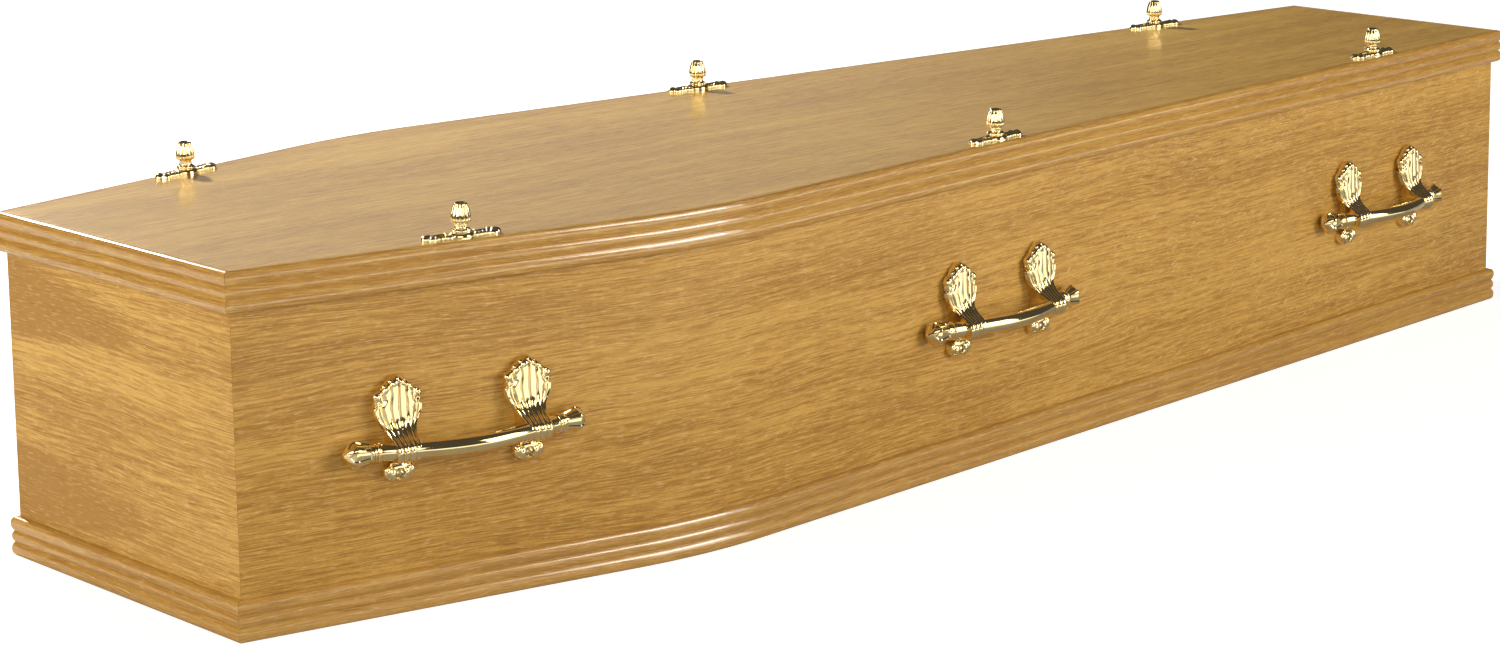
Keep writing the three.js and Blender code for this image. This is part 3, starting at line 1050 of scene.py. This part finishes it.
@dataclass
class Handle:
    """A bowed bar on two shell lugs, in millimetres in a frame on the side face.

    A span gives two distances or heights between which a form fades in.
    """

    finishes: Finishes
    bar_radius: float = 8.5
    reach: float = 38.0
    bow: float = 28.0
    bow_run: float = 140.0
    half_span: float = 129.3
    collar_from_tip: float = 35.0
    collar_rise: float = 1.9
    collar_half: float = 1.8
    second_ring_half: float = 1.2
    second_ring_share: float = 0.62
    neck_gap: float = 1.4
    neck_radius: float = 9.3
    finial_radius: float = 14.2
    finial_widest_from_tip: float = 13.0
    flare_power: float = 1.35
    bud_close: float = 0.93
    bud_power: float = 1.9
    facet_fullness: float = 0.965
    facets_from_neck: Span = (0.0, 4.0)
    facets_from_tip: Span = (0.5, 2.5)
    panel_depth: float = 1.0
    panel_arch: float = 4.0
    panel_from_neck: Span = (2.6, 4.0)
    panel_from_tip: Span = (5.0, 6.5)
    panel_sides: Span = (0.56, 0.74)
    facet_steps: int = 14
    lug_spacing: float = 138.0
    ring_radius: float = 10.2
    shell_steps: int = 96
    shell_flutes: int = 6
    flute_relief: float = 1.35
    face_fullness: float = 3.4
    face_sink: float = 0.6
    wrist_fullness: float = 2.2
    wrist_sink: float = 0.4
    flute_tips: Hump = Hump(64.0, 2.6, 1.2)
    shell_rim: Hump = Hump(0.93, 0.05, 1.5)
    shell_groove: Hump = Hump(0.80, 0.04, 0.7)
    shell_crown: float = 0.42
    crown_power: float = 3.0
    shell_drop: float = 18.5
    drop_power: float = 1.6
    shell_top: float = 67.5
    face_heights: Span = (17.0, 26.0)
    rim_heights: Span = (12.0, 24.0)
    crown_heights: Span = (12.0, 26.0)
    drop_heights: Span = (36.0, 62.0)
    band_tops: Span = (9.0, 5.0)
    band_bottoms: Span = (-12.5, -10.5)
    finger_bands: int = 4
    band_relief: float = 1.5
    beads: int = 7
    bead_reach: float = 0.80
    bead_spread: float = 23.4
    bead_depth: float = 5.8
    bead_sink: float = 1.9
    bead_radii: tuple[float, float, float] = (3.5, 4.6, 3.5)
    ear_spread: float = 21.0
    ear_depth: float = 6.4
    ear_lift: float = 1.0
    ear_radii: tuple[float, float, float] = (4.4, 5.2, 5.2)
    foot_centre: float = -26.0
    foot_base: float = 6.6
    foot_reach: float = 22.0
    well_margins: Span = (1.3, 0.2)
    well_floor: float = 1.6
    screw_radius: float = 4.0
    screw_dome: float = 2.2
    screw_fullness: float = 0.93
    screw_lift: float = 1.8
    screw_seat: float = 1.5
    recess_half: float = 0.62
    recess_reach: float = 2.3
    recess_depth: float = 1.5
    wall_gap: float = 0.1

    def build(self, frame: Matrix, hand: Hand, place_name: str) -> None:
        """Builds and dresses one handle.

        Args:
            frame: The handle's frame on the side face.
            hand: Which side it is on.
            place_name: Where along the side it is.
        """
        label = f"{hand.word}_{place_name}"
        bar = self._bar(f"bowed_bar_{label}")
        self._settle(bar, frame, 0.0)
        place(bar, self.finishes.brass, Slot.BRASS, f"handle_bar_{label}")
        for end, side in (("headward", -1), ("footward", 1)):
            along = side * hand.value * self.lug_spacing / 2
            lug = self._lug(f"fluted_lug_{label}_{end}")
            self._settle(lug, frame, along)
            place(lug, self.finishes.brass, Slot.BRASS, f"shell_lug_{label}_{end}")
            screw = self._screw(f"cross_screw_{label}_{end}")
            self._settle(screw, frame, along)
            place(screw, self.finishes.screw, Slot.SCREW, f"lug_screw_{label}_{end}")

    @staticmethod
    def _settle(piece: Object, frame: Matrix, along: float) -> None:
        """Moves a piece drawn in millimetres to its place on the side face."""
        shift = Matrix.Translation(Vector((along, 0.0, 0.0)))
        piece.data.transform(frame @ Matrix.Scale(MM, 4) @ shift)

    @property
    def collar_at(self) -> float:
        """The collar's distance from the bar's middle."""
        return self.half_span - self.collar_from_tip

    @property
    def widest_at(self) -> float:
        """How far from the bar's middle the finial is widest."""
        return self.half_span - self.finial_widest_from_tip

    def axis_depth(self, along: np.ndarray) -> np.ndarray:
        """The bar axis's distance from the face at distances along the handle."""
        return self.reach - self.bow / 2 * (1 - np.cos(np.pi * along / self.bow_run))

    def axis_turn(self, along: np.ndarray) -> np.ndarray:
        """The angle by which the bar's axis turns towards the face there."""
        return np.arctan(self.bow / 2 * np.pi / self.bow_run * np.sin(np.pi * along / self.bow_run))

    def _bar(self, name: str) -> Object:
        """Makes the bar with its collars and six-sided bud finials.

        Args:
            name: The piece's name.

        Returns:
            The bar in millimetres.
        """
        before_collar, after_collar = self.collar_at - 5, self.collar_at + 8
        stretches = [
            np.linspace(0.0, before_collar, 20),
            np.linspace(before_collar, after_collar, 30),
            np.linspace(after_collar, self.widest_at, 20),
            np.linspace(self.widest_at, self.half_span, 26),
        ]
        half = np.unique(np.concatenate(stretches))
        stations = np.r_[-half[:0:-1], half]
        turn = np.linspace(0.0, 2 * np.pi, 6 * self.facet_steps, endpoint=False)
        radius = self._bar_radius(np.abs(stations)[:, None], turn[None, :])
        bow = self.axis_turn(stations)[:, None]
        out = radius * np.cos(turn)[None, :]
        x = stations[:, None] + out * np.sin(bow)
        y = self.axis_depth(stations)[:, None] + out * np.cos(bow)
        z = radius * np.sin(turn)[None, :]
        draft = MeshDraft()
        draft.tube(np.stack([x, y, z], axis=2))
        return draft.finish(name, 32.0)

    def _bar_radius(self, along: np.ndarray, turn: np.ndarray) -> np.ndarray:
        """The bar's radius by distance from its middle and angle round its axis.

        Args:
            along: Distances from the middle.
            turn: Angles round the axis.

        Returns:
            Radii over both.
        """
        second_at = self.collar_at + 2 * self.collar_half
        neck = second_at + self.neck_gap
        rings = np.zeros_like(along * turn)
        for middle, half, share in (
            (self.collar_at, self.collar_half, 1.0),
            (second_at, self.second_ring_half, self.second_ring_share),
        ):
            round_ring = np.sqrt(np.clip(1 - ((along - middle) / half) ** 2, 0, 1))
            rings = rings + round_ring * self.collar_rise * share
        flare = np.clip((along - neck) / (self.widest_at - neck), 0, 1)
        close = np.clip((along - self.widest_at) / self.finial_widest_from_tip, 0, 1)
        finial = self.neck_radius + (self.finial_radius - self.neck_radius) * flare**self.flare_power
        finial = finial * (1 - self.bud_close * close**self.bud_power)
        base = np.where(along < neck, self.bar_radius, finial)
        half_facet = np.pi / 6
        face = np.mod(turn + half_facet, 2 * half_facet) - half_facet
        six = 0.5 * (1 + math.cos(half_facet)) / np.cos(face) ** 0.5 * self.facet_fullness
        from_neck, from_tip = along - neck, self.half_span - along
        faceted = smoothstep(*self.facets_from_neck, from_neck)
        faceted = faceted * smoothstep(*self.facets_from_tip, from_tip)
        shaped = base * (1 - faceted + faceted * six)
        across = np.abs(face) / half_facet
        arch = smoothstep(*self.panel_from_tip, from_tip - self.panel_arch * across)
        panel = smoothstep(*self.panel_from_neck, from_neck) * arch
        sunk = panel * (1 - smoothstep(*self.panel_sides, across)) * self.panel_depth
        return shaped + rings - sunk

    def _lug(self, name: str) -> Object:
        """Makes a shell lug: a fluted shell with finger bands round the bar, and a lobed foot.

        Args:
            name: The piece's name.

        Returns:
            The lug in millimetres.
        """
        draft = MeshDraft()
        self._shell(draft)
        self._beads(draft)
        self._foot(draft)
        return draft.finish(name, 38.0)

    def _shell_line(self, count: int) -> np.ndarray:
        """The shell's middle line from its top, round the bar, to its stem.

        Args:
            count: How many points.

        Returns:
            Array of depth, height and half width.
        """
        knots = [
            (5.0, 69.2, 22.0),
            (8.6, 67.4, 23.8),
            (11.2, 64.0, 25.0),
            (12.3, 59.5, 24.2),
            (12.6, 55.5, 22.8),
            (12.8, 51.5, 23.2),
            (13.0, 46.5, 24.8),
            (13.2, 41.0, 26.0),
            (13.4, 35.0, 25.6),
            (13.9, 29.0, 23.2),
            (15.0, 23.5, 19.8),
            (17.6, 18.4, 16.4),
            (22.4, 13.6, 14.2),
        ]
        axis = float(self.axis_depth(np.array(self.lug_spacing / 2)))
        for degrees, half in ((58, 13.2), (30, 13.4), (2, 13.4), (-26, 13.4), (-54, 13.2), (-84, 12.6)):
            turn = math.radians(degrees)
            out, up = self.ring_radius * math.cos(turn), self.ring_radius * math.sin(turn)
            knots.append((axis + out, up, half))
        stem = ((7.0, -11.6, 11.6), (13.0, -14.2, 10.6), (17.0, -18.5, 9.6), (19.0, -23.0, 8.4))
        for behind, height, half in stem:
            knots.append((axis - behind, height, half))
        return smooth_line(knots, count)

    def _drop(self, q: np.ndarray, height: np.ndarray) -> np.ndarray:
        """How far the shell's arched top falls away from its middle line."""
        return self.shell_drop * np.abs(q) ** self.drop_power * smoothstep(*self.drop_heights, height)

    def _shell(self, draft: MeshDraft) -> None:
        """Adds the shell, its wrist and the bands round the bar.

        Args:
            draft: The lug's draft.
        """
        line = self._shell_line(120)
        depth, height, half = line[:, 0:1], line[:, 1:2], line[:, 2:3]
        q = np.linspace(-1.0, 1.0, self.shell_steps + 1)[None, :]
        slope = np.gradient(line[:, :2], axis=0)
        slope /= np.linalg.norm(slope, axis=1, keepdims=True)
        normal_out, normal_up = -slope[:, 1:2], slope[:, 0:1]
        relief = self._relief(q, height)
        fall = self.shell_crown * np.abs(q) ** self.crown_power
        crown = 1 - fall * smoothstep(*self.crown_heights, height)
        x = q * half
        y = depth * crown + relief * normal_out
        z = height - self._drop(q, height) + relief * normal_up
        front = np.stack([x, y, z], axis=2)
        left, right = front[:, :1], front[:, -1:]
        flanks = [self._toward_wall(rim, 0.90, 0.45) for rim in (right, left)]
        walls = [self._toward_wall(rim, 0.82, 0.0) for rim in (right, left)]
        ring = np.concatenate([front, flanks[0], walls[0], walls[1], flanks[1]], axis=1)
        back = ring[:1].copy()
        back[..., 0] *= 0.96
        back[..., 1] = np.minimum(back[..., 1], 0.6)
        back[..., 2] -= 1.0
        draft.tube(np.concatenate([back, ring], axis=0))

    def _relief(self, q: np.ndarray, height: np.ndarray) -> np.ndarray:
        """The relief on the shell's front: flutes, their tips, finger bands, and the rim with its groove.

        Args:
            q: Places across the shell, from -1 to 1.
            height: Heights of the middle line.

        Returns:
            The relief over both.
        """
        upper = smoothstep(*self.face_heights, height)
        banded = smoothstep(*self.band_tops, height) * smoothstep(*self.band_bottoms, height)
        face = (self._ribs(q, self.shell_flutes, self.face_fullness) - self.face_sink) * self.flute_relief
        wrist = (self._ribs(q, self.shell_flutes, self.wrist_fullness) - self.wrist_sink) * self.flute_relief
        bands = self._ribs(q, self.finger_bands) * self.band_relief
        relief = (face * upper + wrist * (1 - upper)) * (1 - banded) + bands * banded
        edge = self.shell_rim.at(np.abs(q)) - self.shell_groove.at(np.abs(q))
        tips = self._ribs(q, self.shell_flutes) * self.flute_tips.at(height)
        return relief + edge * smoothstep(*self.rim_heights, height) + tips

    def _beads(self, draft: MeshDraft) -> None:
        """Adds the round beads along the shell's arched top and the ears at its corners.

        Args:
            draft: The lug's draft.
        """
        for q in np.linspace(-self.bead_reach, self.bead_reach, self.beads):
            centre = (self.bead_spread * q, self.bead_depth, self._top(q) - self.bead_sink)
            self._bead(draft, centre, self.bead_radii)
        for way in (-1.0, 1.0):
            centre = (self.ear_spread * way, self.ear_depth, self._top(way) + self.ear_lift)
            self._bead(draft, centre, self.ear_radii)

    def _top(self, q: float) -> float:
        """The height of the shell's top edge at a place across it."""
        return float(self.shell_top - self._drop(np.array(q), np.array(self.shell_top)))

    @staticmethod
    def _bead(draft: MeshDraft, centre: Sequence[float], radii: Sequence[float]) -> None:
        """Adds a rounded bead.

        Args:
            draft: The lug's draft.
            centre: The bead's middle.
            radii: Its half sizes.
        """
        turn = np.linspace(0.0, 2 * np.pi, 16, endpoint=False)[None, :]
        rise = np.radians(np.linspace(-85.0, 85.0, 11))[:, None]
        flat = np.cos(rise)
        upright = np.sin(rise) * np.ones_like(turn)
        ball = np.stack([flat * np.cos(turn), flat * np.sin(turn), upright], axis=2)
        draft.tube(ball * np.array(radii) + np.array(centre))

    @staticmethod
    def _ribs(q: np.ndarray, count: int, fullness: float = 2.0) -> np.ndarray:
        """Rounded ribs across the shell.

        Args:
            q: Places across the shell, from -1 to 1.
            count: How many ribs there are.
            fullness: 2 for round ribs, and more for flatter ones with narrower grooves.

        Returns:
            Heights from 0 in the grooves to 1 on the crowns.
        """
        just_under_half = 0.49999
        across = np.mod((q + 1) * just_under_half * count, 1.0)
        return 1 - np.abs(2 * across - 1) ** fullness

    def _toward_wall(self, rim: np.ndarray, narrowed: float, depth_share: float) -> np.ndarray:
        """A copy of a rim, drawn in and moved towards the side face.

        Args:
            rim: The rim's points.
            narrowed: The share of its half width that is left.
            depth_share: The share of its depth that is left.

        Returns:
            The moved points.
        """
        moved = rim.copy()
        moved[..., 0] *= narrowed
        moved[..., 1] = np.maximum(moved[..., 1] * depth_share, self.wall_gap)
        return moved

    @staticmethod
    def _lobes() -> list[Lobe]:
        """The foot's lobes.

        Returns:
            A body, a boss round the screw and two long lobes on each side.
        """
        lobes = [Lobe(0.0, 4.0, 11.5, 8.5, 3.0), Lobe(0.0, -0.6, 6.6, 7.0, 4.4)]
        for way in (-1.0, 1.0):
            lobes.append(Lobe(way * 7.0, -0.2, 4.4, 7.6, 4.6))
            lobes.append(Lobe(way * 12.2, 2.2, 4.0, 7.0, 4.2))
        return lobes

    def _foot(self, draft: MeshDraft) -> None:
        """Adds the lobed foot with a hollow for its screw.

        Args:
            draft: The lug's draft.
        """
        lobes = self._lobes()
        turn = np.linspace(0.0, 2 * np.pi, 144, endpoint=False)[None, :]
        steps = np.linspace(0.0, self.foot_reach, 1101)[:, None]
        far = np.min([lobe.far(steps * np.cos(turn), steps * np.sin(turn)) for lobe in lobes], axis=0)
        reach = np.max(np.where(far <= 1, steps, 0.0), axis=0)
        share = np.r_[np.linspace(0.02, 0.9, 22), 0.93, 0.96, 0.98, 0.993, 1.0][:, None]
        x = share * reach[None, :] * np.cos(turn)
        z = share * reach[None, :] * np.sin(turn)
        dome = np.max([lobe.dome(x, z) for lobe in lobes], axis=0)
        well = smoothstep(*self.well_margins, np.hypot(x, z) - self.screw_radius)
        y = self.foot_base + dome * (1 - well) + self.well_floor * well
        top = np.stack([x, y, z + self.foot_centre], axis=2)
        wall = top[-1:].copy()
        wall[..., 1] = self.wall_gap
        draft.tube(np.concatenate([top, wall], axis=0))

    def _screw(self, name: str) -> Object:
        """Makes a domed screw head with a cross recess.

        Args:
            name: The piece's name.

        Returns:
            The screw head in millimetres.
        """
        turn = np.linspace(0.0, 2 * np.pi, 72, endpoint=False)[None, :]
        share = np.r_[np.linspace(0.01, 0.86, 26), 0.92, 0.97, 1.0][:, None]
        x = self.screw_radius * share * np.cos(turn)
        z = self.screw_radius * share * np.sin(turn)
        dome = self.screw_dome * np.sqrt(1 - (self.screw_fullness * share) ** 2)
        longer, shorter = np.maximum(np.abs(x), np.abs(z)), np.minimum(np.abs(x), np.abs(z))
        recess = (shorter < self.recess_half) & (longer < self.recess_reach)
        y = self.foot_base + self.screw_lift + dome - self.recess_depth * recess
        top = np.stack([x, y, z + self.foot_centre], axis=2)
        seat = top[-1:].copy()
        seat[..., 1] = self.foot_base + self.screw_seat
        draft = MeshDraft()
        draft.tube(np.concatenate([top, seat], axis=0))
        return draft.finish(name, 35.0)


# Lid screws


@dataclass(frozen=True)
class Dome:
    """A rounded boss on the lid plate, in millimetres."""

    x: float
    y: float
    half_length: float
    half_width: float
    height: float
    flatness: float = 2.0

    def far(self, x: np.ndarray, y: np.ndarray) -> np.ndarray:
        """How far points lie from the middle, 1 on the rim."""
        return np.hypot((x - self.x) / self.half_length, (y - self.y) / self.half_width)

    def rise(self, x: np.ndarray, y: np.ndarray) -> np.ndarray:
        """The dome's height at points."""
        far = np.clip(self.far(x, y), 0.0, 1.0)
        return self.height * (1 - far**self.flatness) ** (1 / self.flatness)

    def edge(self, x: np.ndarray) -> np.ndarray:
        """How far from the plate's middle line the dome reaches at each x."""
        inside = np.clip(1 - ((x - self.x) / self.half_length) ** 2, 0.0, None)
        return np.where(inside > 0, abs(self.y) + self.half_width * np.sqrt(inside), 0.0)


@dataclass
class LidScrew:
    """A fluted thumbscrew on an ornamental plate, in millimetres above the lid.

    A span gives two heights between which a form fades in.
    """

    finishes: Finishes
    half_length: float = 42.3
    edge_height: float = 1.3
    lid_gap: float = 0.05
    knob_height: float = 33.9
    flutes: int = 12
    petals: int = 8
    bud_depth: float = 1.25
    neck_depth: float = 0.45
    petal_depth: float = 1.3
    petal_tops: Span = (9.8, 8.6)
    neck_bottoms: Span = (10.2, 11.2)
    neck_tops: Span = (14.4, 13.6)
    bud_bottoms: Span = (14.8, 16.2)
    bud_tops: Span = (33.0, 31.5)
    knob_rows: int = 120
    outer_rows: int = 104

    def build(self, frame: Matrix, hand: Hand, place_name: str) -> None:
        """Builds and dresses one lid screw.

        Args:
            frame: Its frame on the lid, with x along the lid's edge.
            hand: Which side it is on.
            place_name: Where along the side it is.
        """
        label = f"{hand.word}_{place_name}"
        for piece, node in (
            (self._plate(f"lobed_plate_{label}"), f"lid_plate_{label}"),
            (self._knob(f"fluted_knob_{label}"), f"lid_knob_{label}"),
        ):
            piece.data.transform(frame @ Matrix.Scale(MM, 4))
            place(piece, self.finishes.brass, Slot.BRASS, node)

    def _domes(self) -> list[Dome]:
        """The plate's rounded forms.

        Returns:
            A boss, and on each arm a spine, a round end, side lobes and rows of beads.
        """
        domes = [Dome(0.0, 0.0, 13.0, 12.4, 5.2, 3.0)]
        for way in (-1.0, 1.0):
            domes.append(Dome(way * 22.0, 0.0, 15.0, 3.6, 4.6))
            domes.append(Dome(way * (self.half_length - 6.0), 0.0, 6.0, 5.0, 4.9))
            for aside in (-1.0, 1.0):
                domes.append(Dome(way * 32.5, aside * 5.2, 4.6, 4.4, 4.2))
                for i in range(4):
                    domes.append(Dome(way * (13.4 + 4.5 * i), aside * (5.0 - 0.5 * i), 2.7, 3.4, 3.7))
        return domes

    def _plate(self, name: str) -> Object:
        """Makes the ornamental plate.

        Args:
            name: The piece's name.

        Returns:
            The plate in millimetres.
        """
        domes = self._domes()
        x = np.linspace(-self.half_length, self.half_length, 181)
        x[[0, -1]] *= 0.9995
        edge = np.max([dome.edge(x) for dome in domes], axis=0)
        across = np.sin(np.linspace(-0.5 * np.pi, 0.5 * np.pi, 41))
        gx = np.broadcast_to(x[:, None], (len(x), len(across)))
        gy = np.maximum(edge, 0.05)[:, None] * across[None, :]
        rise = np.max([dome.rise(gx, gy) for dome in domes], axis=0) + self.edge_height
        top = np.stack([gx, gy, rise], axis=2)
        foot = top[:, [-1, 0]].copy()
        foot[..., 2] = self.lid_gap
        draft = MeshDraft()
        draft.tube(np.concatenate([top, foot], axis=1))
        return draft.finish(name)

    def _knob(self, name: str) -> Object:
        """Makes the thumbscrew: a petalled collar, a ribbed neck, a fluted bud and a dished top.

        Args:
            name: The piece's name.

        Returns:
            The knob in millimetres.
        """
        knots = [
            (9.4, 5.6),
            (9.6, 7.4),
            (8.6, 9.0),
            (6.9, 9.8),
            (6.6, 11.5),
            (6.6, 14.0),
            (7.6, 14.9),
            (9.3, 15.6),
            (10.0, 17.4),
            (9.9, 20.5),
            (9.3, 24.5),
            (8.3, 28.5),
            (7.1, 31.6),
            (6.3, 33.2),
            (5.6, self.knob_height),
            (4.6, 33.8),
            (3.6, 33.1),
            (0.3, 32.9),
        ]
        line = smooth_line(knots, self.knob_rows)
        radius, z = line[:, 0:1], line[:, 1:2]
        turn = np.linspace(0.0, 2 * np.pi, self.flutes * 10, endpoint=False)[None, :]
        in_flute = 2 * np.mod(turn * self.flutes / (2 * np.pi), 1.0) - 1
        groove = 1 - np.sqrt(np.clip(1 - in_flute**2, 0, 1))
        notch = 1 - np.abs(np.cos(turn * self.petals / 2))
        outer = np.arange(self.knob_rows)[:, None] < self.outer_rows
        bud = smoothstep(*self.bud_bottoms, z) * smoothstep(*self.bud_tops, z) * outer
        neck = smoothstep(*self.neck_bottoms, z) * smoothstep(*self.neck_tops, z)
        collar = smoothstep(*self.petal_tops, z)
        fluted = (bud * self.bud_depth + neck * self.neck_depth) * groove
        shaped = radius - fluted - collar * self.petal_depth * notch
        height = np.broadcast_to(z, shaped.shape)
        draft = MeshDraft()
        draft.tube(np.stack([shaped * np.cos(turn), shaped * np.sin(turn), height], axis=2))
        return draft.finish(name)


# Studio


@dataclass(frozen=True)
class Softbox:
    """A rectangular studio light aimed at a point."""

    name: str
    place: tuple[float, float, float]
    target: tuple[float, float, float]
    size: Span
    watts: float
    colour: tuple[float, float, float] = (1.0, 0.97, 0.92)

    def build(self) -> None:
        """Adds the light."""
        data = bpy.data.lights.new(self.name, "AREA")
        data.shape = "RECTANGLE"
        data.size, data.size_y = self.size
        data.energy = self.watts
        data.color = self.colour
        lamp = bpy.data.objects.new(self.name, data)
        lamp.location = self.place
        lamp.visible_camera = False
        aim = Vector(self.target) - Vector(self.place)
        lamp.rotation_euler = aim.to_track_quat("-Z", "Y").to_euler()
        bpy.context.scene.collection.objects.link(lamp)


@dataclass
class Studio:
    """The pale floor, the lights, the surroundings and the camera."""

    camera_place: tuple[float, float, float] = (-2.7664, -2.8567, 1.0422)
    yaw: float = 0.83135
    pitch: float = -0.18036
    roll: float = -0.01268
    focal_pixels: float = 3561.0
    shift_y: float = -0.12
    sensor_mm: float = 36.0
    floor_size: float = 60.0
    floor_tone: float = 0.5
    floor_glow: float = 0.78
    glow_azimuth: float = 0.98
    glow_rise: float = 0.16
    glow_edges: Span = (0.955, 0.998)
    glow_colour: Colour = (0.46, 0.45, 0.43)
    dark_colour: Colour = (0.07, 0.065, 0.06)

    def build(self) -> None:
        """Builds the whole studio."""
        self._floor()
        self._surroundings()
        for light in self._lights():
            light.build()
        self._camera()
        view = bpy.context.scene.view_settings
        view.view_transform = "Standard"
        view.look = "None"

    def _lights(self) -> list[Softbox]:
        """The softboxes.

        Returns:
            Each light with its place, target, size in metres and watts.
        """
        warm, warmer = (1.0, 0.97, 0.90), (1.0, 0.95, 0.86)
        return [
            Softbox("key_behind", (-0.25, 3.2, 2.3), (-0.2, 0.0, 0.35), (0.3, 0.3), 230.0, warm),
            Softbox("head_light", (-3.3, 0.2, 1.05), (-0.95, 0.0, 0.2), (1.2, 1.2), 46.0, warmer),
            Softbox("window_front", (3.2, -6.0, 2.6), (-0.2, -0.28, 0.2), (3.4, 4.6), 175.0),
            Softbox("streak_light", (0.95, -2.9, 1.15), (-0.3, -0.28, 0.3), (1.4, 0.65), 27.0),
            Softbox("camera_fill", (-4.3, -4.5, 2.1), (-0.3, -0.2, 0.2), (4.4, 2.6), 105.0),
            Softbox("front_card", (0.4, -1.1, 0.02), (0.4, -0.8, 1.0), (3.6, 1.0), 13.0),
        ]

    def _floor(self) -> None:
        """Adds a wide pale floor that shows near white to the camera."""
        half = self.floor_size / 2
        line = np.linspace(-half, half, 9)
        x, y = np.meshgrid(line, line)
        draft = MeshDraft()
        draft.grid(np.stack([x, y, np.zeros_like(x)], axis=2))
        floor = draft.finish("studio_floor")
        finish, g = new_material("pale_floor")
        seen = g.node("ShaderNodeLightPath").outputs["Is Camera Ray"]
        g.surface(
            {
                "Base Color": (self.floor_tone, self.floor_tone, self.floor_tone, 1.0),
                "Roughness": 0.8,
                "Emission Color": (1.0, 1.0, 1.0, 1.0),
                "Emission Strength": g.math("MULTIPLY", seen, self.floor_glow),
            }
        )
        floor.data.materials.append(finish)

    def _surroundings(self) -> None:
        """Adds surroundings that are white to the camera, softly lit behind and dark elsewhere."""
        world = bpy.data.worlds.new("studio")
        bpy.context.scene.world = world
        world.use_nodes = True
        world.node_tree.nodes.clear()
        g = Graph(world.node_tree)
        way = g.node("ShaderNodeTexCoord").outputs["Generated"]
        glow_way = Vector((math.cos(self.glow_azimuth), math.sin(self.glow_azimuth), self.glow_rise))
        facing = {0: way, 1: glow_way.normalized()}
        behind = g.node("ShaderNodeVectorMath", facing, operation="DOT_PRODUCT").outputs["Value"]
        lit = g.ramp(behind, *self.glow_edges)
        around = g.mix(lit, (*self.dark_colour, 1.0), (*self.glow_colour, 1.0))
        seen = g.node("ShaderNodeLightPath").outputs["Is Camera Ray"]
        colour = g.mix(seen, around, (1.0, 1.0, 1.0, 1.0))
        glow = g.node("ShaderNodeBackground", {"Color": colour, "Strength": 1.0})
        g.node("ShaderNodeOutputWorld", {"Surface": glow.outputs[0]})

    def _camera(self) -> None:
        """Adds the camera at the photograph's viewing angle."""
        data = bpy.data.cameras.new("view")
        data.sensor_fit = "HORIZONTAL"
        data.sensor_width = self.sensor_mm
        data.lens = self.focal_pixels / PHOTO_WIDTH * self.sensor_mm
        data.shift_y = self.shift_y
        data.clip_end = 200.0
        camera = bpy.data.objects.new("view", data)
        level = math.cos(self.pitch)
        aim = Vector((level * math.cos(self.yaw), level * math.sin(self.yaw), math.sin(self.pitch)))
        upright = aim.to_track_quat("-Z", "Y").to_matrix()
        turn = Euler((0.0, 0.0, self.roll)).to_matrix()
        camera.matrix_world = Matrix.Translation(self.camera_place) @ (upright @ turn).to_4x4()
        bpy.context.scene.collection.objects.link(camera)
        bpy.context.scene.camera = camera


def corners(bounds: tuple[Vector, Vector]) -> list[list[float]]:
    """Two corners as plain lists of numbers."""
    return [[float(value) for value in corner] for corner in bounds]


def main() -> None:
    """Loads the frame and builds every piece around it."""
    logging.basicConfig(level=logging.INFO, format="%(name)s: %(message)s")
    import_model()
    Studio().build()
    plan = Plan.from_frame()
    finishes = Finishes.make()
    Boards(plan, finishes).build()
    Mouldings(plan, finishes).build()
    handle, lid_screw = Handle(finishes), LidScrew(finishes)
    for hand in Hand:
        for place_name, from_head in zip(plan.places, plan.handles_from_head):
            frame = plan.side_frame(from_head, hand, 0.0, plan.bar_height)
            handle.build(frame, hand, place_name)
        for place_name, from_head in zip(plan.places, plan.lid_screws_from_head):
            frame = plan.side_frame(from_head, hand, plan.board / 2, plan.height)
            lid_screw.build(frame, hand, place_name)


if __name__ == "__main__":
    main()
